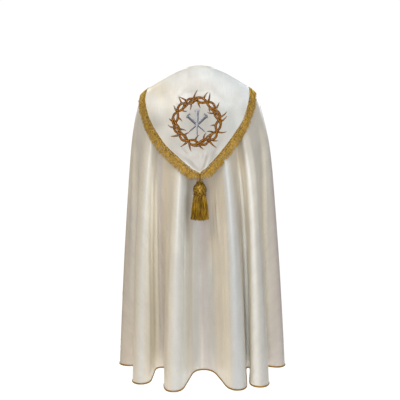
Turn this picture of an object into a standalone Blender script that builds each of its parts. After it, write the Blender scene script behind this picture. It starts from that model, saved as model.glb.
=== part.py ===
"""A cope: a half-circle vestment that hangs from the shoulders, with a fringed hood and a tassel.

It keeps the hollow shape that it has when worn. The front faces -Y, the back +Y, and +X is the
wearer's left. The origin is the middle of the neck's base, where the wearer holds it up.
The cloth hangs inside a smooth envelope round the wearer. The envelope is a ring of sections, and
the folds of the skirt go inwards from it, more and more towards the hem.
"""

import math
import random

import bmesh
import bpy
import numpy as np

# Driving dimensions, in metres.
CLOTH = 0.002
SEAM_GAP = 0.0003
HEM_Z = -1.234
PIPING_RADIUS = 0.0025
PIPING_SIDES = 5

NECKBAND_HEIGHT = 0.010
NECKBAND_LEAN = 0.007
NECKBAND_INSIDE = 0.0020
NECKBAND_OUTSIDE = 0.0016

HOOD_CLOTH = 0.0022
HOOD_LIFT_NECK = 0.0012
HOOD_LIFT_EDGE = 0.0040
HOOD_NECK_START = 0.004
HOOD_COLUMNS = 44
HOOD_ROWS = 10
HOOD_ROW_SPREAD = 1.25
HOOD_SPAN_NECK = 128.0
HOOD_SPAN_EDGE = 103.0

FRINGE_STRANDS = 126
FRINGE_HEADER_TOP = -0.011
FRINGE_HEADER_LOW = 0.003
FRINGE_THICKNESS = 0.0022
FRINGE_LENGTH = 0.023
FRINGE_RAGGED = 0.003
FRINGE_BEHIND_TASSEL = 0.010
BEHIND_TASSEL_REACH = 0.020
FRINGE_STRAND_SHARE = 0.72
FRINGE_TIP_SHARE = 0.7

TASSEL_LENGTH = 0.146
TASSEL_SIDES = 14
TASSEL_RAGGED = 0.005
TASSEL_SPREAD = 1.65
STRAND_WIDTH = 0.0034
STRAND_SUNK = 0.004
TASSEL_CORD_RADIUS = 0.003
TASSEL_CORD_ABOVE = 0.006
TASSEL_CORD_BELOW = 0.020
TASSEL_CORD_LEAN = 0.0035
TASSEL_CORD_UPRIGHT = 0.006

MORSE_WIDTH = 0.150
MORSE_TOP = 0.126
MORSE_BOTTOM = 0.196
MORSE_THICKNESS = 0.003
MORSE_LIFT = 0.0012
MORSE_COLUMNS = 10
MORSE_ROWS = 4

# The envelope, a row for each section from the neck to the hem. "side" is its half width and
# "back" and "front" are its depths, each with its own height. "fold" is how much of the hem's
# folds the section has, and "shift" is how far it lies towards the wearer's left.
SECTION_COLUMNS = ("side", "side_z", "back", "back_z", "front", "front_z", "fold", "shift")
SECTIONS = (
    (0.062, 0.004, 0.062, 0.012, 0.072, -0.050, 0.00, 0.000),
    (0.099, -0.012, 0.088, -0.020, 0.096, -0.080, 0.00, 0.000),
    (0.139, -0.035, 0.108, -0.060, 0.112, -0.118, 0.00, 0.000),
    (0.180, -0.060, 0.124, -0.103, 0.124, -0.160, 0.00, 0.001),
    (0.216, -0.085, 0.138, -0.148, 0.134, -0.204, 0.01, 0.003),
    (0.238, -0.113, 0.149, -0.190, 0.142, -0.245, 0.04, 0.004),
    (0.252, -0.154, 0.160, -0.238, 0.150, -0.290, 0.08, 0.004),
    (0.267, -0.215, 0.172, -0.298, 0.160, -0.345, 0.14, 0.003),
    (0.281, -0.290, 0.185, -0.368, 0.172, -0.415, 0.21, 0.001),
    (0.292, -0.385, 0.203, -0.455, 0.186, -0.500, 0.30, 0.000),
    (0.303, -0.510, 0.223, -0.570, 0.203, -0.610, 0.42, 0.000),
    (0.314, -0.650, 0.241, -0.695, 0.220, -0.725, 0.55, 0.000),
    (0.325, -0.800, 0.256, -0.830, 0.235, -0.850, 0.68, 0.000),
    (0.335, -0.960, 0.269, -0.980, 0.248, -0.990, 0.81, 0.000),
    (0.344, -1.110, 0.280, -1.118, 0.259, -1.125, 0.92, 0.000),
    (0.351, HEM_Z, 0.287, HEM_Z, 0.266, HEM_Z, 1.00, 0.000),
)
SECTION_SQUARENESS = 2.3

# The hem, a row for each round that the cloth's edge takes, from the left front edge round the
# back to the right front edge. A crest (turn 1) has the cloth outside its round, and a valley
# (turn -1) inside. "angle" is where on the shoulders, in degrees from the wearer's left, the
# crest or valley starts.
HEM_COLUMNS = ("name", "x", "y", "radius", "turn", "angle", "points")
HEM = (
    ("left_front_edge", 0.072, -0.256, 0.000, 1, -73, 1),
    ("left_front_crest", 0.142, -0.214, 0.034, 1, -58, 5),
    ("left_front_valley", 0.172, -0.090, 0.014, -1, -46, 4),
    ("left_fore_crest", 0.242, -0.154, 0.034, 1, -34, 6),
    ("left_fore_valley", 0.225, -0.082, 0.011, -1, -20, 4),
    ("left_side_crest", 0.309, -0.056, 0.040, 1, -6, 7),
    ("left_side_valley", 0.238, -0.012, 0.012, -1, 14, 4),
    ("left_back_crest", 0.237, 0.150, 0.040, 1, 32, 7),
    ("left_back_valley", 0.162, 0.022, 0.026, -1, 43, 6),
    ("left_middle_crest", 0.104, 0.229, 0.039, 1, 66, 7),
    ("centre_valley", -0.016, 0.050, 0.042, -1, 91, 8),
    ("right_middle_crest", -0.147, 0.214, 0.039, 1, 121, 7),
    ("right_back_valley", -0.204, 0.002, 0.010, -1, 133, 4),
    ("right_back_crest", -0.239, 0.180, 0.041, 1, 143, 7),
    ("right_side_valley", -0.258, -0.016, 0.012, -1, 163, 4),
    ("right_side_crest", -0.326, -0.037, 0.041, 1, 182, 7),
    ("right_fore_valley", -0.234, -0.092, 0.011, -1, 200, 4),
    ("right_fore_crest", -0.246, -0.156, 0.036, 1, 213, 6),
    ("right_front_valley", -0.165, -0.095, 0.014, -1, 226, 4),
    ("right_front_crest", -0.130, -0.218, 0.036, 1, 239, 5),
    ("right_front_edge", -0.066, -0.258, 0.000, 1, 254, 1),
)

# The widths of cloth that the mantle is sewn from, each from one of the hem's rounds to another.
# The seams lie in valleys.
WIDTHS = {
    "mantle_left_front": ("left_front_edge", "left_front_valley"),
    "mantle_left": ("left_front_valley", "left_side_valley"),
    "mantle_back": ("left_side_valley", "right_side_valley"),
    "mantle_right": ("right_side_valley", "right_front_valley"),
    "mantle_right_front": ("right_front_valley", "right_front_edge"),
}

# The hood's edge: how far its cloth reaches down from the neck on each side, at each angle from
# the hood's point. The hood hangs turned a little towards the wearer's left.
HOOD_EDGE_COLUMNS = ("angle", "left_reach", "right_reach")
HOOD_EDGE = (
    (0, 0.435, 0.435),
    (5, 0.427, 0.423),
    (12, 0.412, 0.402),
    (26, 0.378, 0.360),
    (40, 0.343, 0.311),
    (52, 0.299, 0.265),
    (60, 0.263, 0.225),
    (68, 0.222, 0.189),
    (78, 0.183, 0.165),
    (104, 0.161, 0.157),
)

# The tassel's head, from the top of its cap down.
TASSEL_HEAD_COLUMNS = ("radius", "drop")
TASSEL_HEAD = (
    (0.0045, 0.000),
    (0.0080, 0.003),
    (0.0175, 0.013),
    (0.0250, 0.022),
    (0.0255, 0.038),
    (0.0235, 0.048),
    (0.0245, 0.053),
)

# The rings of strands that hang from the tassel's head.
TASSEL_RING_COLUMNS = ("radius", "strands")
TASSEL_RINGS = (
    (0.006, 6),
    (0.013, 13),
    (0.0205, 22),
)

IVORY = (0.82, 0.79, 0.72, 1.0)
WHITE = (0.88, 0.87, 0.84, 1.0)
GOLD = (0.58, 0.36, 0.08, 1.0)


def smooth_through(values, position):
    """The value at a position between rows, on a smooth curve through all the rows."""
    last = len(values) - 1
    start = min(int(position), last - 1)
    share = position - start
    before, low = values[max(start - 1, 0)], values[start]
    high, after = values[start + 1], values[min(start + 2, last)]
    rise, fall = (high - before) / 2, (after - low) / 2
    return (
        low
        + rise * share
        + (3 * (high - low) - 2 * rise - fall) * share**2
        + (2 * (low - high) + rise + fall) * share**3
    )


def section_sizes(row):
    """The sizes of the envelope at a row, which may lie between two rows of the table."""
    return [
        smooth_through([s[k] for s in SECTIONS], row) for k in range(len(SECTION_COLUMNS))
    ]


def envelope(angle, row):
    """A point of the envelope, at an angle in degrees from the wearer's left."""
    side, side_z, back, back_z, front, front_z, _, shift = section_sizes(row)
    cosine, sine = math.cos(math.radians(angle)), math.sin(math.radians(angle))
    depth, depth_z = (back, back_z) if sine > 0 else (front, front_z)
    power = SECTION_SQUARENESS
    out = (abs(cosine / side) ** power + abs(sine / depth) ** power) ** (-1 / power)
    height = side_z + (depth_z - side_z) * sine**2
    return np.array([out * cosine + shift, out * sine, height])


def envelope_normal(angle, row):
    """The direction out of the envelope at a point."""
    low, high = max(row - 0.05, 0), min(row + 0.05, len(SECTIONS) - 1)
    along = envelope(angle, high) - envelope(angle, low)
    across = envelope(angle + 0.5, row) - envelope(angle - 0.5, row)
    normal = np.cross(along, across)
    return normal / np.linalg.norm(normal)


def row_at(angle, distance):
    """The row that lies a distance down from the neck, measured on the envelope."""
    rows = np.arange(0, 10.01, 0.25)
    points = np.array([envelope(angle, row) for row in rows])
    steps = np.linalg.norm(np.diff(points, axis=0), axis=1)
    return float(np.interp(distance, np.concatenate([[0], np.cumsum(steps)]), rows))


def hem_curve():
    """The points of the hem, and the index of each round's middle."""
    rounds = [dict(zip(HEM_COLUMNS, row)) for row in HEM]
    headings = []
    for this, following in zip(rounds, rounds[1:]):
        dx, dy = following["x"] - this["x"], following["y"] - this["y"]
        lean = following["turn"] * following["radius"] - this["turn"] * this["radius"]
        headings.append(math.atan2(dy, dx) - math.asin(lean / math.hypot(dx, dy)))
    points, middles = [], {}
    for k, this in enumerate(rounds):
        arrive = headings[max(k - 1, 0)]
        leave = headings[min(k, len(headings) - 1)]
        turned = (leave - arrive) % (2 * math.pi)
        if this["turn"] < 0:
            turned -= 2 * math.pi
        if this["points"] == 1:
            turned = 0.0
        middles[this["name"]] = len(points) + this["points"] // 2
        for i in range(this["points"]):
            heading = arrive + turned * i / max(this["points"] - 1, 1)
            away = this["turn"] * this["radius"]
            points.append(
                (this["x"] + away * math.sin(heading), this["y"] - away * math.cos(heading))
            )
        if k < len(headings):
            points.append(None)
    return fill_runs(points), middles


def fill_runs(points):
    """The points with the middle of each straight run between two rounds."""
    filled = []
    for k, point in enumerate(points):
        if point is None:
            before, after = points[k - 1], points[k + 1]
            point = ((before[0] + after[0]) / 2, (before[1] + after[1]) / 2)
        filled.append(point)
    return np.array(filled)


def mantle_points():
    """The outer points of the mantle, a row for each section, and the middles of the rounds."""
    hem, middles = hem_curve()
    lengths = np.concatenate([[0], np.cumsum(np.linalg.norm(np.diff(hem, axis=0), axis=1))])
    knots = [lengths[middles[row[0]]] for row in HEM]
    angles = np.interp(lengths, knots, [row[HEM_COLUMNS.index("angle")] for row in HEM])
    last = len(SECTIONS) - 1
    grid = np.zeros((len(SECTIONS), len(hem), 3))
    for row, section in enumerate(SECTIONS):
        fold = section[SECTION_COLUMNS.index("fold")]
        for k, angle in enumerate(angles):
            grid[row, k] = envelope(angle, row)
            grid[row, k, :2] += fold * (hem[k] - envelope(angle, last)[:2])
    return grid, middles


def grid_normals(grid):
    """The direction out of the cloth at each point of a grid."""
    down = np.gradient(grid, axis=0)
    across = np.gradient(grid, axis=1)
    normals = np.cross(down, across)
    return normals / np.linalg.norm(normals, axis=2, keepdims=True)


def add_object(name, vertices, faces, color, smooth=True):
    """A mesh object with its own material, its faces pointing out."""
    mesh = bpy.data.meshes.new(name)
    mesh.from_pydata([tuple(v) for v in vertices], [], faces)
    shape = bmesh.new()
    shape.from_mesh(mesh)
    bmesh.ops.recalc_face_normals(shape, faces=shape.faces)
    shape.to_mesh(mesh)
    shape.free()
    if smooth:
        mesh.shade_smooth()
        mesh.set_sharp_from_angle(angle=math.radians(50))
    material = bpy.data.materials.new(name)
    material.use_nodes = True
    shader = material.node_tree.nodes["Principled BSDF"]
    shader.inputs["Base Color"].default_value = color
    shader.inputs["Roughness"].default_value = 0.6
    shader.inputs["Metallic"].default_value = 0.0
    mesh.materials.append(material)
    item = bpy.data.objects.new(name, mesh)
    bpy.context.scene.collection.objects.link(item)
    return item


def add_sheet(name, outer, inner, color):
    """A closed wall between an outer and an inner grid of points."""
    rows, columns = outer.shape[:2]
    vertices = np.concatenate([outer.reshape(-1, 3), inner.reshape(-1, 3)])
    count = rows * columns

    def at(row, column, side):
        return side * count + row * columns + column

    faces = []
    for row in range(rows - 1):
        for column in range(columns - 1):
            for side in (0, 1):
                faces.append(
                    (
                        at(row, column, side),
                        at(row, column + 1, side),
                        at(row + 1, column + 1, side),
                        at(row + 1, column, side),
                    )[:: 1 - 2 * side]
                )
    rim = [(0, column) for column in range(columns)]
    rim += [(row, columns - 1) for row in range(1, rows)]
    rim += [(rows - 1, column) for column in range(columns - 2, -1, -1)]
    rim += [(row, 0) for row in range(rows - 2, 0, -1)]
    for here, there in zip(rim, rim[1:] + rim[:1]):
        faces.append((at(*here, 0), at(*here, 1), at(*there, 1), at(*there, 0)))
    return add_object(name, vertices, faces, color)


def add_tube(name, path, radius, sides, color):
    """A closed tube along a path, as a ring of points at each of its points."""
    path = np.array(path)
    vertices, faces = [], []
    along = np.gradient(path, axis=0)
    along /= np.linalg.norm(along, axis=1, keepdims=True)
    guide = np.array([0.0, 0.0, 1.0]) if abs(along[0, 2]) < 0.7 else np.array([1.0, 0.0, 0.0])
    for point, direction in zip(path, along):
        across = np.cross(direction, guide)
        across /= np.linalg.norm(across)
        upright = np.cross(across, direction)
        for k in range(sides):
            turn = 2 * math.pi * (k + 0.5) / sides
            vertices.append(
                point + radius * (math.cos(turn) * across + math.sin(turn) * upright)
            )
    for ring in range(len(path) - 1):
        for k in range(sides):
            a, b = ring * sides + k, ring * sides + (k + 1) % sides
            faces.append((a, b, b + sides, a + sides))
    faces.append(tuple(range(sides)))
    faces.append(tuple(range((len(path) - 1) * sides, len(path) * sides)))
    return add_object(name, vertices, faces, color)


def add_mantle():
    """The widths of the mantle, with a narrow gap at each seam, and the piping."""
    outer, middles = mantle_points()
    inner = outer - grid_normals(outer) * CLOTH
    for name, (first_round, last_round) in WIDTHS.items():
        first, last = middles[first_round], middles[last_round]
        walls = []
        for grid in (outer, inner):
            part = grid[:, first : last + 1].copy()
            if first > 0:
                part[:, 0] += step_towards(part[:, 0], part[:, 1])
            if last < outer.shape[1] - 1:
                part[:, -1] += step_towards(part[:, -1], part[:, -2])
            walls.append(part)
        add_sheet(name, *walls, IVORY)
    middle = (outer + inner) / 2
    drop = np.array([0, 0, PIPING_RADIUS + SEAM_GAP])
    add_tube("hem_piping", middle[-1] - drop, PIPING_RADIUS, PIPING_SIDES, GOLD)
    for name, edge, beside in (
        ("front_piping_left", middle[:, 0], middle[:, 1]),
        ("front_piping_right", middle[:, -1], middle[:, -2]),
    ):
        away = edge - beside
        away /= np.linalg.norm(away, axis=1, keepdims=True)
        path = edge + away * (PIPING_RADIUS + SEAM_GAP)
        add_tube(name, path, PIPING_RADIUS, PIPING_SIDES, GOLD)
    return outer


def step_towards(points, others):
    """Half a seam's gap from each point towards its neighbour."""
    step = others - points
    return step / np.linalg.norm(step, axis=1, keepdims=True) * SEAM_GAP * 0.6


def add_neckband(outer):
    """The band that stands round the neck edge."""
    edge = outer[0, ::3]
    flat = edge.copy()
    flat[:, 2] = 0
    away = flat / np.linalg.norm(flat, axis=1, keepdims=True)
    low = np.array([0, 0, SEAM_GAP])
    high = np.array([0, 0, SEAM_GAP + NECKBAND_HEIGHT])
    lean = away * NECKBAND_LEAN
    outside = np.array(
        [edge + away * NECKBAND_OUTSIDE + high - lean, edge + away * NECKBAND_OUTSIDE + low]
    )
    inside = np.array(
        [edge - away * NECKBAND_INSIDE + high - lean, edge - away * NECKBAND_INSIDE + low]
    )
    add_sheet("neckband", outside, inside, IVORY)


def hood_reach(angle_from_point):
    """How far the hood reaches down from the neck, at an angle towards the wearer's left."""
    edges = [dict(zip(HOOD_EDGE_COLUMNS, row)) for row in HOOD_EDGE]
    right = [(-edge["angle"], edge["right_reach"]) for edge in edges[:0:-1]]
    left = [(edge["angle"], edge["left_reach"]) for edge in edges]
    angles, reaches = zip(*right, *left)
    position = float(np.interp(angle_from_point, angles, range(len(angles))))
    return smooth_through(reaches, position)


def hood_point(across, down, lift):
    """A point over the hood, across from -1 to 1 and down from 0 at the neck to 1 at its edge."""
    span = HOOD_SPAN_NECK + (HOOD_SPAN_EDGE - HOOD_SPAN_NECK) * down
    angle = 90 - across * span
    reach = hood_reach(across * HOOD_SPAN_EDGE)
    row = row_at(angle, HOOD_NECK_START + (reach - HOOD_NECK_START) * down)
    rise = HOOD_LIFT_NECK + (HOOD_LIFT_EDGE - HOOD_LIFT_NECK) * down
    return envelope(angle, row) + envelope_normal(angle, row) * (rise + lift)


def add_hood():
    """The shield-shaped hood that lies over the shoulders and the back."""
    acrosses = np.linspace(-1, 1, HOOD_COLUMNS + 1)
    downs = np.linspace(0, 1, HOOD_ROWS + 1) ** HOOD_ROW_SPREAD
    outer, inner = [
        np.array([[hood_point(across, down, lift) for across in acrosses] for down in downs])
        for lift in (HOOD_CLOTH, 0.0)
    ]
    add_sheet("hood", outer, inner, WHITE)


def hood_edge(samples):
    """Points spread evenly along the hood's edge, each with its outward and upward directions."""
    acrosses = np.linspace(-1, 1, 361)
    line = np.array([hood_point(across, 1, HOOD_CLOTH + SEAM_GAP) for across in acrosses])
    lengths = np.concatenate([[0], np.cumsum(np.linalg.norm(np.diff(line, axis=0), axis=1))])
    wanted = np.array(samples) * lengths[-1]
    points = np.stack([np.interp(wanted, lengths, line[:, k]) for k in range(3)], axis=1)
    reach = 0.004
    ahead = np.stack([np.interp(wanted + reach, lengths, line[:, k]) for k in range(3)], axis=1)
    behind = np.stack([np.interp(wanted - reach, lengths, line[:, k]) for k in range(3)], axis=1)
    along = ahead - behind
    along /= np.linalg.norm(along, axis=1, keepdims=True)
    angles = 90 - np.interp(wanted, lengths, acrosses) * HOOD_SPAN_EDGE
    rises = [envelope_normal(angle, row_at(angle, hood_reach(90 - angle))) for angle in angles]
    outward = np.cross(rises, along)
    outward /= np.linalg.norm(outward, axis=1, keepdims=True)
    return points, outward, np.array(rises)


def add_hood_fringe():
    """The fringe: a woven strip on the hood's edge and the strands that hang from it."""
    random.seed(4)
    gap = (1 - FRINGE_STRAND_SHARE) / 2
    samples = [0.0]
    for strand in range(FRINGE_STRANDS):
        samples += [(strand + gap) / FRINGE_STRANDS, (strand + 1 - gap) / FRINGE_STRANDS]
    samples.append(1.0)
    edge, outward, rise = hood_edge(samples)
    top, low = edge + outward * FRINGE_HEADER_TOP, edge + outward * FRINGE_HEADER_LOW
    thick = rise * FRINGE_THICKNESS
    rails = (top + thick, low + thick, low, top)
    count = len(samples)
    vertices = [point for rail in rails for point in rail]
    faces = []
    for k in range(count - 1):
        for rail in range(4):
            after = (rail + 1) % 4
            root = (rail * count + k, rail * count + k + 1, after * count + k + 1, after * count + k)
            if rail == 1 and k % 2 == 1:
                faces += strand_faces(vertices, root, outward[k : k + 2], rise[k])
            else:
                faces.append(root)
    faces.append(tuple(rail * count for rail in range(4)))
    faces.append(tuple(rail * count + count - 1 for rail in range(4)))
    add_object("hood_fringe", vertices, faces, GOLD, smooth=False)


def strand_faces(vertices, root, outward, rise):
    """Adds a strand's end points to the vertices and gives the strand's faces."""
    corners = np.array([vertices[k] for k in root])
    middle = corners.mean(axis=0)
    length = FRINGE_LENGTH + random.uniform(-1, 1) * FRINGE_RAGGED
    if abs(middle[0] - tassel_place()[0]) < BEHIND_TASSEL_REACH:
        length = FRINGE_BEHIND_TASSEL
    heading = outward.mean(axis=0) + rise * 0.06 + np.array([0, 0, -0.25])
    heading /= np.linalg.norm(heading)
    tips = middle + heading * length + (corners - middle) * FRINGE_TIP_SHARE
    first = len(vertices)
    vertices.extend(tips)
    ends = list(range(first, first + 4))
    faces = [(root[k], root[(k + 1) % 4], ends[(k + 1) % 4], ends[k]) for k in range(4)]
    return faces + [tuple(ends)]


def tassel_place(above=0.0):
    """Where the tassel's cord lies on the fringe, at the hood's point or above it."""
    lift = HOOD_CLOTH + 2 * SEAM_GAP + FRINGE_THICKNESS + TASSEL_CORD_RADIUS
    return hood_point(0, 1 - above / hood_reach(0), lift)


def add_tassel():
    """The tassel, a turned head with loose strands, and the short cord that it hangs from."""
    random.seed(7)
    start = tassel_place(TASSEL_CORD_ABOVE)
    point = tassel_place()
    end = point + np.array([0, TASSEL_CORD_LEAN, -TASSEL_CORD_BELOW])
    upright = end + np.array([0, 0, TASSEL_CORD_UPRIGHT])
    path = [start, point, upright, (upright + end) / 2, end]
    add_tube("tassel_cord", path, TASSEL_CORD_RADIUS, 8, GOLD)
    cap = end - np.array([0, 0, SEAM_GAP])
    vertices, faces = [], []
    for radius, drop in TASSEL_HEAD:
        for k in range(TASSEL_SIDES):
            turn = 2 * math.pi * k / TASSEL_SIDES
            vertices.append(cap + (radius * math.cos(turn), radius * math.sin(turn), -drop))
    for ring in range(len(TASSEL_HEAD) - 1):
        for k in range(TASSEL_SIDES):
            a = ring * TASSEL_SIDES + k
            b = ring * TASSEL_SIDES + (k + 1) % TASSEL_SIDES
            faces.append((a, b, b + TASSEL_SIDES, a + TASSEL_SIDES))
    faces.append(tuple(range(TASSEL_SIDES)))
    faces.append(tuple(len(vertices) - TASSEL_SIDES + k for k in range(TASSEL_SIDES)))
    head = add_object("tassel", vertices, faces, GOLD)
    strands = add_tassel_strands(cap)
    union = head.modifiers.new("strands", "BOOLEAN")
    union.operation = "UNION"
    union.solver = "EXACT"
    union.object = strands


def add_tassel_strands(cap):
    """The tassel's strands, as one guide object whose roots lie inside the head."""
    vertices, faces = [], []
    root_drop = TASSEL_HEAD[-1][TASSEL_HEAD_COLUMNS.index("drop")] - STRAND_SUNK
    for ring in [dict(zip(TASSEL_RING_COLUMNS, row)) for row in TASSEL_RINGS]:
        for k in range(ring["strands"]):
            turn = 2 * math.pi * (k + 0.5) / ring["strands"]
            away = np.array([math.cos(turn), math.sin(turn), 0.0])
            side = np.array([-math.sin(turn), math.cos(turn), 0.0])
            low = TASSEL_LENGTH + random.uniform(-1, 1) * TASSEL_RAGGED
            first = len(vertices)
            for spread, drop in ((1.0, root_drop), (TASSEL_SPREAD, low)):
                middle = cap + away * ring["radius"] * spread - np.array([0, 0, drop])
                half = STRAND_WIDTH / 2
                for u, v in ((-1, -1), (1, -1), (1, 1), (-1, 1)):
                    vertices.append(middle + away * half * u + side * half * v)
            faces += [tuple(first + i for i in range(4)), tuple(first + 4 + i for i in range(4))]
            for i in range(4):
                j = (i + 1) % 4
                faces.append((first + i, first + j, first + 4 + j, first + 4 + i))
    guide = add_object("tassel_strands", vertices, faces, GOLD, smooth=False)
    guide.hide_render = True
    guide.display_type = "WIRE"
    return guide


def add_morse():
    """The plain tab across the chest, from one front to the other."""
    outer = np.zeros((MORSE_ROWS + 1, MORSE_COLUMNS + 1, 3))
    inner = outer.copy()
    for i, distance in enumerate(np.linspace(MORSE_TOP, MORSE_BOTTOM, MORSE_ROWS + 1)):
        for k, x in enumerate(np.linspace(-MORSE_WIDTH / 2, MORSE_WIDTH / 2, MORSE_COLUMNS + 1)):
            depth = section_sizes(row_at(-90, distance))[SECTION_COLUMNS.index("front")]
            angle = -90 + math.degrees(math.atan2(x, depth))
            row = row_at(angle, distance)
            normal = envelope_normal(angle, row)
            inner[i, k] = envelope(angle, row) + normal * MORSE_LIFT
            outer[i, k] = inner[i, k] + normal * MORSE_THICKNESS
    add_sheet("morse", outer, inner, IVORY)


def clear_scene():
    for item in list(bpy.data.objects):
        bpy.data.objects.remove(item, do_unlink=True)


def main():
    clear_scene()
    outer = add_mantle()
    add_neckband(outer)
    add_hood()
    add_hood_fringe()
    add_tassel()
    add_morse()


main()
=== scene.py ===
"""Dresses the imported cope: soft satin folds, hood, gold fringe, tassel, embroidery and piping."""

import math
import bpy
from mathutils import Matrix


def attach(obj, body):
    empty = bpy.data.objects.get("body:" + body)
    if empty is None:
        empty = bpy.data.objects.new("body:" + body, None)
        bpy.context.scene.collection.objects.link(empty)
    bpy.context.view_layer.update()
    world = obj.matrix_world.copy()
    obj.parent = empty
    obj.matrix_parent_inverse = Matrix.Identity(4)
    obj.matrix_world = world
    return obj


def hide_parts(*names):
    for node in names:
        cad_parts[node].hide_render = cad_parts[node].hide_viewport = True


bl_info = {
    "name": "Cope",
    "version": (1, 0, 0),
    "blender": (4, 5, 0),
    "location": "View3D > Sidebar > Cope",
    "description": "Makes a cope with its hood, fringe, tassel and embroidery, and a pale studio",
    "category": "Object",
}

import bmesh
import bpy
import numpy as np
from bpy.props import FloatProperty, FloatVectorProperty, IntProperty, PointerProperty
from mathutils import Vector
from mathutils.bvhtree import BVHTree

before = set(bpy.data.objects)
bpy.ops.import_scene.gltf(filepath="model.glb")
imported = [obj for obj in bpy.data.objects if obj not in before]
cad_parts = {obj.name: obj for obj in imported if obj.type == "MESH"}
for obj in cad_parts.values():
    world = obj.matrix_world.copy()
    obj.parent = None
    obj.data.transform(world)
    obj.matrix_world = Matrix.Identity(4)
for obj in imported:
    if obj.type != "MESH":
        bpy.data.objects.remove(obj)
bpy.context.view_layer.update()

# The envelope that the cloth hangs in, a row for each section from the neck to the hem. "side"
# is its half width, "back" and "front" its depths, each with its own height, "fold" is how much
# of the hem's folds the section has, and "shift" is how far it lies to the wearer's left.
SECTION_COLUMNS = ("side", "side_z", "back", "back_z", "front", "front_z", "fold", "shift")
SECTIONS = np.array(
    (
        (0.062, 0.004, 0.062, 0.012, 0.072, -0.050, 0.00, 0.000),
        (0.099, -0.012, 0.088, -0.020, 0.096, -0.080, 0.00, 0.000),
        (0.139, -0.035, 0.108, -0.060, 0.112, -0.118, 0.00, 0.000),
        (0.180, -0.060, 0.124, -0.103, 0.124, -0.160, 0.00, 0.001),
        (0.216, -0.085, 0.138, -0.148, 0.134, -0.204, 0.01, 0.003),
        (0.238, -0.113, 0.149, -0.190, 0.142, -0.245, 0.04, 0.004),
        (0.252, -0.154, 0.160, -0.238, 0.150, -0.290, 0.08, 0.004),
        (0.267, -0.215, 0.172, -0.298, 0.160, -0.345, 0.14, 0.003),
        (0.281, -0.290, 0.185, -0.368, 0.172, -0.415, 0.21, 0.001),
        (0.292, -0.385, 0.203, -0.455, 0.186, -0.500, 0.30, 0.000),
        (0.303, -0.510, 0.223, -0.570, 0.203, -0.610, 0.42, 0.000),
        (0.314, -0.650, 0.241, -0.695, 0.220, -0.725, 0.55, 0.000),
        (0.325, -0.800, 0.256, -0.830, 0.235, -0.850, 0.68, 0.000),
        (0.335, -0.960, 0.269, -0.980, 0.248, -0.990, 0.81, 0.000),
        (0.344, -1.110, 0.280, -1.118, 0.259, -1.125, 0.92, 0.000),
        (0.351, -1.234, 0.287, -1.234, 0.266, -1.234, 1.00, 0.000),
    )
)
LAST_ROW = len(SECTIONS) - 1
SQUARENESS = 2.3
# How far along the cloth one row past the hem is, where creases and streaks run out.
PAST_HEM = 0.12

# The hem, a row for each round of the cloth's edge, from the left front edge round the back to
# the right front edge. A crest (turn 1) has the cloth outside its round, a valley (-1) inside.
# "angle" is where on the shoulders the round starts, and "middle" how far along it that is.
HEM_COLUMNS = ("x", "y", "radius", "turn", "angle", "middle")
HEM = np.array(
    (
        (0.072, -0.256, 0.000, 1, -73, 0),
        (0.142, -0.214, 0.034, 1, -58, 1 / 2),
        (0.172, -0.090, 0.014, -1, -46, 2 / 3),
        (0.242, -0.154, 0.034, 1, -34, 3 / 5),
        (0.225, -0.082, 0.011, -1, -20, 2 / 3),
        (0.309, -0.056, 0.040, 1, -6, 1 / 2),
        (0.238, -0.012, 0.012, -1, 14, 2 / 3),
        (0.237, 0.150, 0.040, 1, 32, 1 / 2),
        (0.162, 0.022, 0.026, -1, 43, 3 / 5),
        (0.104, 0.229, 0.039, 1, 66, 1 / 2),
        (-0.016, 0.050, 0.042, -1, 91, 4 / 7),
        (-0.147, 0.214, 0.039, 1, 121, 1 / 2),
        (-0.204, 0.002, 0.010, -1, 133, 2 / 3),
        (-0.239, 0.180, 0.041, 1, 143, 1 / 2),
        (-0.258, -0.016, 0.012, -1, 163, 2 / 3),
        (-0.326, -0.037, 0.041, 1, 182, 1 / 2),
        (-0.234, -0.092, 0.011, -1, 200, 2 / 3),
        (-0.246, -0.156, 0.036, 1, 213, 3 / 5),
        (-0.165, -0.095, 0.014, -1, 226, 2 / 3),
        (-0.130, -0.218, 0.036, 1, 239, 1 / 2),
        (-0.066, -0.258, 0.000, 1, 254, 0),
    )
)
# The widths of cloth that the mantle is sewn from, each from one of the hem's rounds to another.
WIDTHS = {
    "mantle_left_front": (0, 2),
    "mantle_left": (2, 6),
    "mantle_back": (6, 14),
    "mantle_right": (14, 18),
    "mantle_right_front": (18, 20),
}
PLACES = np.arange(len(HEM))
# The hem is softened by these lengths, more in the valley at the middle and less at its ends.
HEM_SOFTNESS, MIDDLE_SOFTNESS = 0.018, 0.046
MIDDLE_VALLEY, HEM_END = 0.13, 0.06
ROUND_STEPS, HEM_STEPS = 24, 2400
SEAM_GAP = 0.0003
HALF_SEAM = SEAM_GAP * 0.6
MANTLE_INSET = 0.0003
FOLD_DEPTH = 0.16

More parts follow.
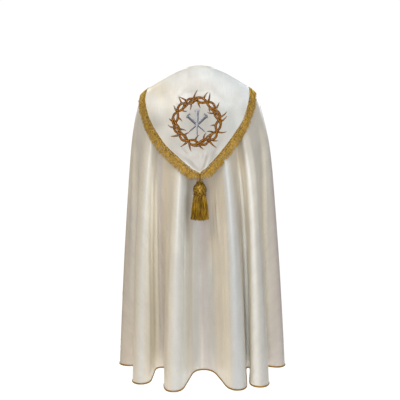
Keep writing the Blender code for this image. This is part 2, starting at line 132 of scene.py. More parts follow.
# The cloth's smaller creases. Each runs from one point to another, and a point is a place (8.5
# is half way from hem round 8 to hem round 9) and a row of the envelope. After the two points
# come the width, the height (how far the cloth stands out, or lies in where it is negative) and
# how far from its ends the crease fades.
CREASES = (
    (7.35, 8.4, 7.40, 15.8, 0.016, -0.0020, 0.20),
    (7.46, 8.2, 7.48, 15.2, 0.026, 0.0070, 0.22),
    (7.16, 10.8, 7.20, 15.8, 0.012, -0.0030, 0.30),
    (6.70, 7.0, 6.78, 13.0, 0.018, 0.0040, 0.25),
    (6.30, 9.0, 6.40, 15.8, 0.022, -0.0045, 0.30),
    (8.58, 9.2, 8.70, 15.8, 0.016, 0.0045, 0.22),
    (8.76, 9.6, 8.84, 15.8, 0.012, -0.0045, 0.30),
    (9.27, 9.4, 9.29, 15.3, 0.015, -0.0055, 0.25),
    (9.46, 9.8, 9.48, 14.8, 0.017, 0.0045, 0.30),
    (9.70, 9.6, 9.72, 15.2, 0.017, -0.0060, 0.28),
    (9.97, 10.6, 9.97, 15.4, 0.018, 0.0060, 0.30),
    (10.00, 13.3, 9.97, 15.2, 0.006, 0.0026, 0.10),
    (10.18, 9.2, 10.24, 12.8, 0.016, -0.0060, 0.25),
    (10.48, 8.9, 10.56, 11.2, 0.012, 0.0055, 0.12),
    (10.58, 10.6, 10.76, 15.8, 0.018, 0.0035, 0.30),
    (10.80, 9.2, 10.86, 15.8, 0.010, -0.0030, 0.30),
    (11.10, 9.0, 11.06, 15.0, 0.010, -0.0025, 0.30),
    (12.76, 8.8, 12.70, 15.8, 0.015, -0.0020, 0.25),
    (12.90, 9.8, 12.88, 15.8, 0.010, 0.0018, 0.30),
    (13.22, 8.8, 13.16, 15.8, 0.015, -0.0045, 0.30),
    (13.45, 8.2, 13.40, 13.6, 0.014, 0.0045, 0.25),
    (14.50, 9.0, 14.52, 15.8, 0.022, -0.0050, 0.30),
    (14.25, 7.4, 14.22, 12.5, 0.013, 0.0045, 0.25),
    (10.168, 12.05, 10.465, 12.25, 0.005, 0.0036, 0.03),
    (10.10, 13.08, 10.53, 13.25, 0.005, 0.0034, 0.04),
    (10.89, 13.88, 11.02, 14.10, 0.005, 0.0026, 0.03),
    (13.064, 14.10, 12.976, 14.45, 0.005, 0.0026, 0.03),
    (5.30, 7.4, 5.36, 15.8, 0.017, -0.0055, 0.30),
    (5.62, 6.6, 5.60, 12.6, 0.014, 0.0050, 0.25),
    (4.62, 8.0, 4.70, 15.8, 0.015, 0.0045, 0.30),
    (3.30, 8.2, 3.34, 15.8, 0.015, -0.0055, 0.28),
    (2.66, 7.6, 2.60, 13.8, 0.014, 0.0050, 0.25),
    (1.40, 6.4, 1.36, 15.8, 0.016, -0.0055, 0.30),
    (1.72, 7.8, 1.66, 12.2, 0.012, 0.0045, 0.22),
    (0.52, 6.8, 0.58, 15.8, 0.018, 0.0040, 0.30),
    (4.90, 12.6, 5.10, 12.9, 0.006, 0.0024, 0.04),
    (3.10, 11.0, 2.92, 11.4, 0.006, 0.0024, 0.04),
    (15.34, 7.0, 15.30, 15.8, 0.018, -0.0055, 0.30),
    (15.62, 8.6, 15.66, 14.2, 0.013, 0.0045, 0.25),
    (16.60, 7.8, 16.66, 15.8, 0.014, 0.0050, 0.28),
    (7.86, 8.8, 7.90, 15.0, 0.018, 0.0090, 0.22),
    (17.32, 8.4, 17.28, 15.8, 0.014, -0.0050, 0.28),
    (18.42, 7.4, 18.50, 14.8, 0.014, 0.0050, 0.25),
    (18.80, 6.8, 18.74, 15.8, 0.013, -0.0045, 0.30),
    (19.48, 7.2, 19.42, 15.8, 0.017, 0.0040, 0.30),
    (17.05, 12.2, 16.90, 12.6, 0.006, 0.0024, 0.04),
)
CREASE_REACH = 3.0

# Streaks of painted light and shade on the mantle: painted highlights on the crests, painted shade
# and shadows in the valleys and beside the fringe and tassel, and painted reflections of the warm
# and cool lamps on the flanks. Each runs as a crease does. After its width come its tint, how much
# of that it adds to the cloth's own colour, and how far from its ends it fades.
PAINTED_STREAKS = (
    (5.30, 6.0, 5.30, 15.8, 0.080, "sand", 3.0, 0.20),
    (5.36, 6.4, 5.36, 10.8, 0.050, "cream", 7.0, 0.30),
    (5.22, 9.6, 5.34, 16.4, 0.075, "fawn", 5.0, 0.22),
    (5.86, 7.0, 5.86, 11.0, 0.014, "cream", 3.0, 0.20),
    (5.84, 6.0, 5.84, 15.8, 0.014, "mauve", 1.6, 0.15),
    (6.88, 6.6, 6.86, 15.8, 0.020, "sand", 5.0, 0.20),
    (7.02, 7.0, 7.04, 15.8, 0.012, "pearl", 2.0, 0.20),
    (7.40, 6.6, 7.44, 16.2, 0.048, "light", 9.0, 0.24),
    (7.16, 8.0, 7.20, 15.8, 0.014, "light", 3.0, 0.20),
    (7.74, 8.6, 7.78, 16.2, 0.034, "light", 12.0, 0.24),
    (7.99, 6.5, 7.99, 15.8, 0.020, "mauve", 6.0, 0.20),
    (8.30, 7.0, 8.84, 13.6, 0.022, "sand", 5.0, 0.15),
    (8.82, 12.6, 8.86, 15.8, 0.020, "sand", 4.0, 0.15),
    (8.92, 7.2, 8.92, 15.8, 0.018, "cream", 6.0, 0.18),
    (9.02, 7.2, 9.05, 15.8, 0.022, "pearl", 4.0, 0.12),
    (9.20, 7.6, 9.26, 15.8, 0.028, "mint", 6.0, 0.18),
    (9.37, 8.2, 9.38, 10.7, 0.030, "shadow", 6.0, 0.20),
    (9.12, 7.8, 9.14, 12.0, 0.009, "slate", 4.0, 0.18),
    (9.42, 7.6, 9.46, 15.6, 0.020, "slate", 2.0, 0.18),
    (9.66, 8.0, 9.68, 15.0, 0.020, "pearl", 2.0, 0.20),
    (9.84, 8.0, 9.84, 15.8, 0.030, "cool", 5.0, 0.20),
    (9.97, 8.0, 10.04, 15.8, 0.034, "mauve", 7.0, 0.15),
    (9.95, 13.2, 9.95, 15.4, 0.007, "light", 3.0, 0.08),
    (9.92, 11.4, 9.93, 12.7, 0.009, "pearl", 3.0, 0.10),
    (10.12, 8.4, 10.26, 10.9, 0.020, "mauve", 8.0, 0.10),
    (10.34, 9.4, 10.36, 10.8, 0.010, "shadow", 3.0, 0.08),
    (10.38, 7.6, 10.38, 15.8, 0.032, "cream", 4.0, 0.15),
    (10.14, 10.8, 10.20, 16.0, 0.050, "cool", 5.0, 0.20),
    (10.66, 8.2, 10.66, 15.8, 0.036, "cream", 5.0, 0.15),
    (10.80, 9.0, 10.82, 15.8, 0.014, "cream", 3.0, 0.15),
    (10.96, 7.2, 11.00, 15.8, 0.026, "cool", 7.0, 0.15),
    (11.14, 9.0, 11.13, 15.8, 0.012, "slate", 3.0, 0.15),
    (11.50, 10.4, 11.46, 16.2, 0.040, "light", 9.0, 0.20),
    (11.50, 8.2, 11.48, 10.6, 0.024, "slate", 4.0, 0.10),
    (12.05, 9.8, 12.00, 16.2, 0.052, "frost", 9.0, 0.20),
    (11.90, 8.0, 12.00, 10.8, 0.040, "frost", 6.0, 0.20),
    (12.45, 8.2, 12.50, 16.4, 0.030, "light", 9.0, 0.16),
    (12.66, 10.9, 12.70, 15.8, 0.026, "light", 8.0, 0.20),
    (12.62, 8.0, 12.64, 10.8, 0.022, "cream", 4.0, 0.20),
    (12.92, 7.6, 12.91, 15.8, 0.016, "frost", 6.0, 0.12),
    (12.70, 6.4, 12.76, 8.9, 0.050, "shadow", 4.0, 0.16),
    (13.04, 10.2, 13.05, 15.8, 0.018, "slate", 5.0, 0.15),
    (13.16, 6.8, 13.16, 10.4, 0.022, "light", 4.0, 0.20),
    (13.40, 8.0, 13.50, 15.8, 0.050, "cream", 2.0, 0.15),
    (14.14, 7.0, 14.14, 15.8, 0.016, "cream", 3.0, 0.15),
    (14.34, 7.4, 14.36, 15.8, 0.024, "pearl", 1.6, 0.20),
    (14.36, 6.8, 14.40, 10.6, 0.034, "light", 3.0, 0.20),
    (14.50, 13.2, 14.60, 16.4, 0.080, "mauve", 3.0, 0.14),
    (14.66, 7.0, 14.70, 15.8, 0.036, "mauve", 3.0, 0.20),
)
# How many painted streaks of light and shade the sides and front get.
HIDDEN_PAINTED_STREAKS = 46
# The colours of the mantle's painted light, shade and reflections.
TINTS = {
    "sand": (0.81, 0.71, 0.55),
    "cream": (0.87, 0.78, 0.63),
    "pearl": (0.76, 0.76, 0.73),
    "mauve": (0.59, 0.54, 0.525),
    "fawn": (0.52, 0.43, 0.35),
    "mint": (0.80, 0.83, 0.79),
    "frost": (0.93, 0.94, 0.92),
    "shadow": (0.36, 0.35, 0.31),
    "cool": (0.64, 0.665, 0.68),
    "slate": (0.61, 0.61, 0.59),
    "light": (0.99, 0.95, 0.83),
}

# The hood's edge: how far its cloth reaches down from the neck on each side, at each angle from
# the hood's point.
HOOD_EDGE = (
    (0, 0.435, 0.435),
    (5, 0.427, 0.423),
    (12, 0.412, 0.402),
    (26, 0.378, 0.360),
    (40, 0.343, 0.311),
    (52, 0.299, 0.265),
    (60, 0.263, 0.225),
    (68, 0.222, 0.189),
    (78, 0.183, 0.165),
    (104, 0.161, 0.157),
)
HOOD_CLOTH = 0.0022
HOOD_LIFT_NECK = 0.0012
HOOD_LIFT_EDGE = 0.0040
HOOD_NECK_START = 0.004
HOOD_SPAN_NECK = 128.0
HOOD_SPAN_EDGE = 103.0
HOOD_DEEPEST = 0.0020

# The hood's soft places, by x and z: dimples and swells, with their half sizes, their turn in
# degrees and their height, and then pulls from one point to another, with width and height.
DIMPLES = (
    (0.125, -0.245, 0.040, 0.022, 35, -0.0022),
    (0.160, -0.160, 0.030, 0.045, 10, 0.0016),
    (0.088, -0.300, 0.050, 0.018, 40, -0.0020),
    (0.055, -0.345, 0.030, 0.016, 35, 0.0016),
    (-0.110, -0.260, 0.034, 0.024, -40, -0.0020),
    (-0.150, -0.170, 0.028, 0.040, -15, 0.0018),
    (-0.075, -0.310, 0.036, 0.016, -45, -0.0016),
    (0.016, -0.048, 0.048, 0.026, 0, -0.0022),
    (-0.004, -0.086, 0.060, 0.014, -8, 0.0012),
    (0.060, -0.105, 0.030, 0.024, 20, 0.0016),
    (-0.052, -0.110, 0.034, 0.022, -20, 0.0015),
    (0.118, -0.110, 0.034, 0.020, 45, -0.0015),
    (-0.128, -0.105, 0.034, 0.020, -45, -0.0014),
    (0.030, -0.330, 0.040, 0.016, 15, -0.0018),
)
PULLS = (
    (-0.025, -0.292, 0.000, -0.402, 0.009, -0.0034),
    (-0.050, -0.296, -0.010, -0.396, 0.011, 0.0030),
    (0.078, -0.306, 0.012, -0.402, 0.011, 0.0030),
    (0.026, -0.296, 0.010, -0.376, 0.014, -0.0026),
    (0.098, -0.262, 0.040, -0.352, 0.010, -0.0018),
    (-0.100, -0.235, -0.060, -0.320, 0.010, -0.0016),
    (0.046, -0.048, 0.085, -0.100, 0.010, -0.0014),
    (-0.040, -0.050, -0.080, -0.096, 0.010, -0.0012),
)

# The colours of the hood's painted light and shade.
HOOD_TINTS = {
    "mauve": (0.66, 0.63, 0.59),
    "cream": (0.95, 0.85, 0.66),
    "blue": (0.85, 0.89, 0.91),
    "frost": (0.93, 0.98, 0.99),
    "pearl": (0.96, 0.96, 0.94),
    "stone": (0.47, 0.45, 0.41),
    "slate": (0.50, 0.52, 0.50),
}

# Soft clouds of painted light and shade on the hood's satin, painted shade in stone and slate and
# painted highlights in pearl, frost and cream: x, z, half sizes, tint and weight.
HOOD_PAINTED_CLOUDS = (
    (-0.003, -0.265, 0.085, 0.115, "stone", 5.0),
    (-0.004, -0.390, 0.050, 0.050, "stone", 1.6),
    (-0.022, -0.335, 0.045, 0.045, "stone", 3.5),
    (0.022, -0.032, 0.036, 0.018, "stone", 0.6),
    (-0.190, -0.105, 0.030, 0.030, "frost", 3.0),
    (0.105, -0.290, 0.030, 0.040, "stone", 3.0),
    (0.172, -0.195, 0.022, 0.030, "stone", 6.0),
    (0.140, -0.150, 0.040, 0.030, "stone", 0.8),
    (-0.157, -0.144, 0.030, 0.035, "stone", 3.0),
    (-0.130, -0.195, 0.050, 0.080, "slate", 2.4),
    (0.095, -0.020, 0.050, 0.030, "pearl", 4.0),
    (0.207, -0.100, 0.030, 0.040, "pearl", 2.0),
    (-0.050, -0.010, 0.060, 0.030, "frost", 3.0),
    (-0.140, -0.055, 0.050, 0.030, "frost", 3.0),
    (0.183, -0.055, 0.030, 0.030, "cream", 2.4),
    (0.130, -0.225, 0.030, 0.022, "pearl", 2.0),
    (0.060, -0.360, 0.016, 0.016, "pearl", 2.0),
    (-0.104, -0.128, 0.028, 0.014, "frost", 2.5),
    (-0.016, -0.022, 0.012, 0.010, "pearl", 3.0),
    (0.043, -0.022, 0.010, 0.016, "stone", 0.8),
    (0.175, -0.115, 0.016, 0.014, "pearl", 2.5),
    (-0.153, -0.217, 0.014, 0.030, "pearl", 2.0),
    (-0.076, -0.306, 0.020, 0.020, "pearl", 1.5),
    (0.070, -0.085, 0.016, 0.010, "pearl", 2.0),
    (0.028, -0.070, 0.014, 0.010, "stone", 0.6),
    (0.033, -0.090, 0.050, 0.017, "stone", 2.2),
    (0.011, -0.185, 0.050, 0.050, "stone", 2.5),
    (0.142, -0.195, 0.028, 0.045, "stone", 2.0),
    (0.037, -0.325, 0.030, 0.040, "stone", 3.0),
    (-0.064, -0.305, 0.028, 0.035, "stone", 2.0),
)
SHARP_ANGLE = 60

# The fringe's strip, by how far out and how high each corner of its section lies, and the lanes
# of its braid, by how far out each lies and how its turns lean.
FRINGE_TOP, FRINGE_LOW = -0.011, 0.003
FRINGE_STRIP = (
    *((FRINGE_TOP, 0.0002), (FRINGE_TOP, 0.0010)),
    *((FRINGE_LOW, 0.0010), (FRINGE_LOW, 0.0002)),
)
FRINGE_THICKNESS = 0.0022
STRIP_POINTS = 401
BRAID_LANES = ((-0.0104, 0.75), (-0.0070, -0.75), (-0.0036, 0.75), (-0.0006, -0.75))
BRAID_TURN_LENGTH = 0.0050
# How much shorter the strands are cut at each x, and how far beside the tassel's cord and how
# long those are that hang behind it.
TRIM_AT, TRIM_BY = (-0.15, -0.04, 0.04, 0.15), (0.0045, 0.0030, 0.0010, 0.0025)
BEHIND_TASSEL, BEHIND_TASSEL_LENGTH = 0.020, 0.0165
STRAND_SAG = (0.0, -0.002, -0.0065)

TASSEL_CORD_RADIUS = 0.003
TASSEL_CORD_ABOVE = 0.006
TASSEL_CORD_BELOW = 0.020
TASSEL_CORD_LEAN = 0.0035
TASSEL_CORD_UPRIGHT = 0.006
CORD_PLIES, CORD_TURNS, PLY_OFFSET, PLY_RADIUS = 3, 4.5, 0.0014, 0.00155
# The tassel's head, by its radius and how far each ring is below the cap.
TASSEL_HEAD = (
    (0.0045, 0.000),
    (0.0080, 0.003),
    (0.0135, 0.009),
    (0.0185, 0.014),
    (0.0240, 0.0205),
    (0.0255, 0.026),
    (0.0257, 0.032),
    (0.0252, 0.040),
    (0.0228, 0.048),
    (0.0240, 0.053),
)
HEAD_RINGS, HEAD_SIDES = 34, 40
NET_THREADS, NET_POINTS, NET_SLANT = 10, 44, 0.30
# The cords tied round the head, by how far down each is, its radius and how thick it is.
NET_TIES = (
    (0.0030, 0.0105, 0.0016),
    (0.0060, 0.0135, 0.0014),
    (0.0485, 0.0238, 0.0016),
    (0.0515, 0.0238, 0.0016),
    (0.0545, 0.0242, 0.0015),
)
STRANDS_START, STRANDS_RADIUS, STRANDS_SPREAD = 0.047, 0.0222, 0.0345
TASSEL_LENGTH = 0.146

MORSE_WIDTH = 0.150
MORSE_TOP, MORSE_BOTTOM = 0.126, 0.196
MORSE_HALF = (MORSE_BOTTOM - MORSE_TOP) / 2
MORSE_THICKNESS = 0.003
MORSE_LIFT = 0.0012
MORSE_SEAM, MORSE_SEAM_WIDTH, MORSE_SEAM_DEPTH = 0.006, 0.0016, 0.0006
PIPING_RADIUS = 0.0025
PIPING_COVER = PIPING_RADIUS * 1.4
PIPING_GOLD = ((0.34, 0.175, 0.008), (0.74, 0.45, 0.040))
# The neckband's section, by how far out, how high and how far tipped in each point is.
NECKBAND = (
    (0.0016, 0.0003, 0.0),
    (0.0017, 0.0040, 0.33),
    (0.0016, 0.0078, 0.72),
    (0.0011, 0.0098, 0.93),
    (0.0000, 0.0105, 1.0),
    (-0.0012, 0.0099, 0.95),
    (-0.0019, 0.0080, 0.76),
    (-0.0020, 0.0040, 0.35),
    (-0.0020, 0.0003, 0.0),
)
NECKBAND_TIP = 0.007
NECK_RADIUS = 0.05

# The emblem's middle on the hood, and its crown and nails.
EMBLEM_MIDDLE = (0.0112, -0.1915)
CROWN_RADIUS = 0.0822
# The crown's stems: how far each swings in and out, how often, where it starts, and its width.
STEMS = ((0.0090, 6, 0.4, 0.0072), (0.0090, 6, 3.5, 0.0072), (0.0108, 4, 1.2, 0.0060))
STEM_WOBBLE = 0.0011
NAIL_HEADS = ((0.0, 0.042), (0.034, 0.022), (-0.034, 0.022))
NAIL_TIPS = ((0.0, -0.056), (-0.030, -0.038), (0.030, -0.038))
# The two rows of stitches along a nail: how far off its middle, how wide and how light.
NAIL_ROWS = ((-0.24, 0.54, 0.8), (0.26, 0.46, 0.0))
NAIL_SHARES, NAIL_WIDTHS = (0, 0.45, 0.55, 1), (0.0116, 0.0104, 0.0074, 0.0030)
PLATE_HALF, PLATE_WIDTH = 0.0106, 0.0086
# How flat the padding under the stitches is.
STEM_FLAT, THORN_FLAT, NAIL_FLAT = 0.17, 0.20, 0.14

# How each kind of thread is made by the threads tree.
BRAID_TURN = {"thickness": 0.0016, "sides": 4, "taper": 0.75, "arch": 0.0007}
FRINGE_STRAND = {"thickness": 0.00105, "steps": 7, "wave": 0.0011, "spin": 1.0, "seed": 3}
TASSEL_STRAND = {"thickness": 0.0025, "sides": 4, "steps": 12, "wave": 0.0022, "arch": 0.0030}
STITCH = {"thickness": 0.00082, "sides": 4, "arch": 0.0008}
THREAD_INPUTS = {
    "Points": ("Geometry", None),
    "Thickness": ("Float", 0.001),
    "Sides": ("Int", 3),
    "Steps": ("Int", 4),
    "Taper": ("Float", 0.0),
    "Arch": ("Float", 0.0),
    "Wave": ("Float", 0.0),
    "Spin": ("Float", 0.0),
    "Seed": ("Int", 1),
    "Material": ("Material", None),
}

# The studio: each light's place, target, size, power and colour.
CHEST, SKIRT = (0, 0.1, -0.2), (0, 0.1, -0.75)
STUDIO_LIGHTS = (
    ("top", (0.5, 2.1, 1.9), CHEST, (1.3, 1.0), "top_light", (1, 0.985, 0.96)),
    ("warm", (1.6, 1.6, 1.6), CHEST, (0.8, 0.8), "warm_light", (1.0, 0.92, 0.78)),
    ("cool", (-1.6, 1.6, 1.6), CHEST, (0.8, 0.8), "cool_light", (0.92, 0.97, 1.0)),
    ("middle", (0.1, 3.6, 0.0), SKIRT, (0.5, 0.9), "front_light", (1, 0.98, 0.95)),
    ("far_left", (2.2, -3.0, 1.2), CHEST, (1.2, 2.0), "far_light", (1.0, 0.93, 0.82)),
    ("far_right", (-2.2, -3.0, 1.0), SKIRT, (1.2, 2.0), "far_light", (0.86, 0.92, 1.0)),
)
FLOOR_RADIUS, FLOOR_FADE, FLOOR_GLOW = 2.4, (1.65, 2.35), 0.51
WORLD_LIGHT, WORLD_SEEN = 0.265, 1.05
CAMERA_PLACE, CAMERA_TILT = (0, 3.2, -0.028), 8.75
FOCAL_PIXELS, IMAGE_PIXELS, SENSOR = 790, 400, 36.0


def between(low, high, rise, fall, share):
    """A smooth curve from low to high that starts with one slope and ends with another."""
    return (
        low
        + rise * share
        + (3 * (high - low) - 2 * rise - fall) * share**2
        + (2 * (low - high) + rise + fall) * share**3
    )


def smooth_through(values, position):
    """The values at positions between rows, on a smooth curve through all the rows."""
    values, position = np.asarray(values, float), np.asarray(position, float)
    last = len(values) - 1
    start = np.clip(position.astype(int), 0, last - 1)
    before, low = values[np.maximum(start - 1, 0)], values[start]
    high, after = values[start + 1], values[np.minimum(start + 2, last)]
    return between(low, high, (high - before) / 2, (after - low) / 2, position - start)


def section_size(name, row):
    return smooth_through(SECTIONS[:, SECTION_COLUMNS.index(name)], row)


def unit(vectors):
    return vectors / np.maximum(np.linalg.norm(vectors, axis=-1, keepdims=True), 1e-12)


def ease(value):
    value = np.clip(value, 0, 1)
    return value * value * (3 - 2 * value)


def bell(*offsets):
    return np.exp(-sum(offset**2 for offset in offsets))


def lengths_along(line):
    """How far along a line of points each of them lies."""
    return np.concatenate([[0], np.cumsum(np.linalg.norm(np.diff(line, axis=0), axis=1))])


def points_at(where, lengths, line):
    """The points that lie at some lengths along a line."""
    return np.stack([np.interp(where, lengths, column) for column in line.T], axis=1)


def around(turn, radius=1.0, z=0.0):
    """Points round the z axis, at turns in radians."""
    parts = np.broadcast_arrays(radius * np.cos(turn), radius * np.sin(turn), z)
    return np.stack(parts, axis=-1)


def envelope(angle, row):
    """Points of the envelope, at angles in degrees from the wearer's left."""
    angle, row = np.broadcast_arrays(np.asarray(angle, float), np.asarray(row, float))
    cosine, sine = np.cos(np.radians(angle)), np.sin(np.radians(angle))
    sizes = {name: section_size(name, row) for name in SECTION_COLUMNS}
    depth = np.where(sine > 0, sizes["back"], sizes["front"])
    depth_z = np.where(sine > 0, sizes["back_z"], sizes["front_z"])
    side, power = sizes["side"], SQUARENESS
    out = (np.abs(cosine / side) ** power + np.abs(sine / depth) ** power) ** (-1 / power)
    height = sizes["side_z"] + (depth_z - sizes["side_z"]) * sine**2
    return np.stack([out * cosine + sizes["shift"], out * sine, height], axis=-1)


def envelope_normal(angle, row):
    """The directions out of the envelope."""
    row = np.asarray(row, float)
    low, high = np.maximum(row - 0.05, 0), np.minimum(row + 0.05, LAST_ROW)
    along = envelope(angle, high) - envelope(angle, low)
    across = envelope(np.asarray(angle) + 0.5, row) - envelope(np.asarray(angle) - 0.5, row)
    return unit(np.cross(along, across))


# How far below the neck the envelope's rows lie, at each degree round it.
TABLE_ANGLES = np.arange(-100.0, 261.0)
TABLE_ROWS = np.arange(0, 15.01, 0.1)
TABLE_DISTANCES = np.array(
    [lengths_along(line) for line in envelope(TABLE_ANGLES[:, None], TABLE_ROWS[None, :])]
)
LAST_ANGLE = len(TABLE_ANGLES) - 1.001
USUAL_DISTANCES = TABLE_DISTANCES[int(80 - TABLE_ANGLES[0])]


def row_at(angle, distance):
    """The rows that lie at distances down from the neck, measured on the envelope."""
    angle, distance = np.broadcast_arrays(np.asarray(angle, float), np.asarray(distance, float))
    rows = np.zeros(angle.shape)
    for k, (turn, reach) in enumerate(zip(angle.flat, distance.flat)):
        position = min(max(turn - TABLE_ANGLES[0], 0), LAST_ANGLE)
        start = int(position)
        near = np.interp(reach, TABLE_DISTANCES[start], TABLE_ROWS)
        far = np.interp(reach, TABLE_DISTANCES[start + 1], TABLE_ROWS)
        rows.flat[k] = near + (far - near) * (position - start)
    return rows


def distance_at(angle, row):
    """The distances down from the neck at angles and rows."""
    position = np.clip(angle - TABLE_ANGLES[0], 0, LAST_ANGLE)
    start = position.astype(int)
    near = np.array([np.interp(row, TABLE_ROWS, TABLE_DISTANCES[s]) for s in start])
    far = np.array([np.interp(row, TABLE_ROWS, TABLE_DISTANCES[s + 1]) for s in start])
    return (near + (far - near) * (position - start)[:, None]).T


def row_distance(row):
    """The distance down from the neck of a row, at the usual back angle, and past the hem."""
    inside = float(np.interp(min(row, LAST_ROW), TABLE_ROWS, USUAL_DISTANCES))
    return inside + max(row - LAST_ROW, 0) * PAST_HEM


def hem_line():
    """The hem as a fine line of points, the length to each point and to each round's middle."""
    x, y, radius, turn, _, middle = HEM.T
    dx, dy = np.diff(x), np.diff(y)
    lean = turn[1:] * radius[1:] - turn[:-1] * radius[:-1]
    headings = np.arctan2(dy, dx) - np.arcsin(lean / np.hypot(dx, dy))
    points, middles = [], []
    for k in range(len(HEM)):
        arrive, leave = headings[max(k - 1, 0)], headings[min(k, len(headings) - 1)]
        turned = (leave - arrive) % (2 * math.pi)
        if turn[k] < 0:
            turned -= 2 * math.pi
        steps = ROUND_STEPS if radius[k] > 0 else 1
        middles.append(len(points) + middle[k] * (steps - 1))
        away = turn[k] * radius[k]
        for heading in arrive + turned * np.linspace(0, 1, steps):
            points.append((x[k] + away * math.sin(heading), y[k] - away * math.cos(heading)))
    points = np.array(points)
    lengths = lengths_along(points)
    knots = np.interp(middles, np.arange(len(lengths)), lengths)
    even = np.linspace(0, lengths[-1], HEM_STEPS)
    middle_valley = bell((even - knots[len(knots) // 2]) / MIDDLE_VALLEY)
    softness = HEM_SOFTNESS + (MIDDLE_SOFTNESS - HEM_SOFTNESS) * middle_valley
    softness = ease(np.minimum(even, lengths[-1] - even) / HEM_END) * softness
    spread = np.arange(-3, 3.01, 0.25)
    weights = np.exp(-(spread**2) / 2)
    shares = zip(spread, weights / weights.sum())
    soft = sum(share * points_at(even + k * softness, lengths, points) for k, share in shares)
    return soft, even, knots


HEM_POINTS, HEM_LENGTHS, KNOTS = hem_line()


def hem_angles(lengths):
    """Where on the shoulders the cloth starts, on a curve through HEM that never overshoots."""
    angles = HEM[:, HEM_COLUMNS.index("angle")]
    steps = np.diff(KNOTS)
    slopes = np.diff(angles) / steps
    tangents = np.concatenate([[slopes[0]], np.zeros(len(slopes) - 1), [slopes[-1]]])
    for k in range(1, len(slopes)):
        if slopes[k - 1] * slopes[k] > 0:
            heavy, light = 2 * steps[k] + steps[k - 1], steps[k] + 2 * steps[k - 1]
            tangents[k] = (heavy + light) / (heavy / slopes[k - 1] + light / slopes[k])
    at = np.clip(np.searchsorted(KNOTS, lengths, side="right") - 1, 0, len(steps) - 1)
    rise, fall = tangents[at] * steps[at], tangents[at + 1] * steps[at]
    return between(angles[at], angles[at + 1], rise, fall, (lengths - KNOTS[at]) / steps[at])


def grid_normals(grid):
    return unit(np.cross(np.gradient(grid, axis=0), np.gradient(grid, axis=1)))


def hood_reach(angle_from_point):
    """How far the hood reaches down from the neck, at angles towards the wearer's left."""
    right = [(-angle, reach) for angle, _, reach in HOOD_EDGE[:0:-1]]
    left = [(angle, reach) for angle, reach, _ in HOOD_EDGE]
    angles, reaches = zip(*right, *left)
    return smooth_through(reaches, np.interp(angle_from_point, angles, range(len(angles))))


def cloth_places(lengths, rows):
    """How far along the hem and how far down from the neck each point of a grid lies."""
    down = np.array([row_distance(row) for row in rows])
    return np.broadcast_arrays(lengths[None, :], down[:, None])


def streak_strength(ends, width, fade, along, down):
    """How strongly a streak or a crease tells at each point of a grid, from 0 to 1."""
    knots = [np.interp(place, PLACES, KNOTS) for place in ends[::2]]
    start, end = np.stack([knots, [row_distance(row) for row in ends[1::2]]], axis=1)
    size = np.linalg.norm(end - start)
    run = (end - start) / size
    along, down = along - start[0], down - start[1]
    reach = along * run[0] + down * run[1]
    aside = (down * run[0] - along * run[1]) / width
    strength = ease(reach / fade) * ease((size - reach) / fade)
    return np.where(np.abs(aside) < CREASE_REACH, strength * bell(aside), 0)


def hidden_painted_streaks():
    """Painted streaks of light and shade like the table's, for the sides and the front."""
    random = np.random.default_rng(61)
    names = ("sand", "pearl", "mauve", "pearl", "slate", "cream")
    for k in range(HIDDEN_PAINTED_STREAKS):
        place = random.uniform(0.2, 5.6) if k % 2 else random.uniform(14.8, 19.8)
        row, to_row = random.uniform(6.5, 9.5), random.uniform(13.5, 15.8)
        width, weight = random.uniform(0.010, 0.026), random.uniform(1.5, 4.0)
        drift = random.uniform(-0.06, 0.06)
        yield place, row, place + drift, to_row, width, names[k % len(names)], weight, 0.2


def with_painted_light(cloth, weights, tints):
    """The colour at each point: the cloth's own, mixed with tints of painted light and shade by their
    weights.
    """
    total, color = 1.0, np.array(cloth[:3])
    for tint, weight in weights.items():
        color = color + weight[..., None] * np.array(tints[tint])
        total = total + weight
    return color / total[..., None]


def mantle_painted_light(lengths, rows, grid, normals, cloth):
    """The cloth's colour at each point: its own, with painted light and shade on the folds and the
    painted streaks.
    """
    angle, row = hem_angles(lengths)[None, :], rows[:, None]
    away = unit(envelope_normal(angle, row) * (1, 1, 0))
    depth = np.clip(np.sum((envelope(angle, row) - grid) * away, axis=-1) / FOLD_DEPTH, 0, 1)
    aside = np.stack([-away[..., 1], away[..., 0], away[..., 2]], axis=-1)
    facing = np.sum(unit(normals * (1, 1, 0.2)) * aside, axis=-1)
    folded = ease((row - 5.0) / 5.0)
    # Painted light by the way each flank faces: warm sand on one side and cool slate on the other,
    # painted light in cream deep in the valleys, and painted highlights in pearl on the crests.
    weights = {
        "sand": 1.2 * ease(-facing) * folded,
        "slate": 0.6 * ease(facing) * folded,
        "cream": 0.8 * depth * folded,
        "pearl": 1.0 * ease(1 - np.abs(facing) * 2.2) * ease(1 - depth * 2.5) * folded,
    }
    along, down = cloth_places(lengths, rows)
    for *ends, width, tint, weight, fade in (*PAINTED_STREAKS, *hidden_painted_streaks()):
        more = weight * streak_strength(ends, width, fade, along, down)
        weights[tint] = weights.get(tint, 0.0) + more
    return with_painted_light(cloth, weights, TINTS)


def mantle_grid(lengths, rows, depth):
    """The cloth's outer points and normals, a row for each of rows, a column for each length."""
    angle = hem_angles(lengths)
    grid = envelope(angle[None, :], rows[:, None])
    away = points_at(lengths, HEM_LENGTHS, HEM_POINTS) - envelope(angle, LAST_ROW)[:, :2]
    grid[..., :2] += section_size("fold", rows)[:, None, None] * away[None]
    along, down = cloth_places(lengths, rows)
    heights = np.zeros(along.shape)
    for *ends, width, height, fade in CREASES:
        heights += height * streak_strength(ends, width, fade, along, down)
    heights = heights * depth
    under = distance_at(angle, rows) - hood_reach(90 - angle)[None, :]
    beyond = np.where(np.abs(angle - 90) < HOOD_SPAN_EDGE, ease((under - 0.005) / 0.05), 1.0)
    heights = np.where(heights > 0, heights * beyond, heights)
    grid = grid + grid_normals(grid) * heights[..., None]
    return grid, grid_normals(grid)


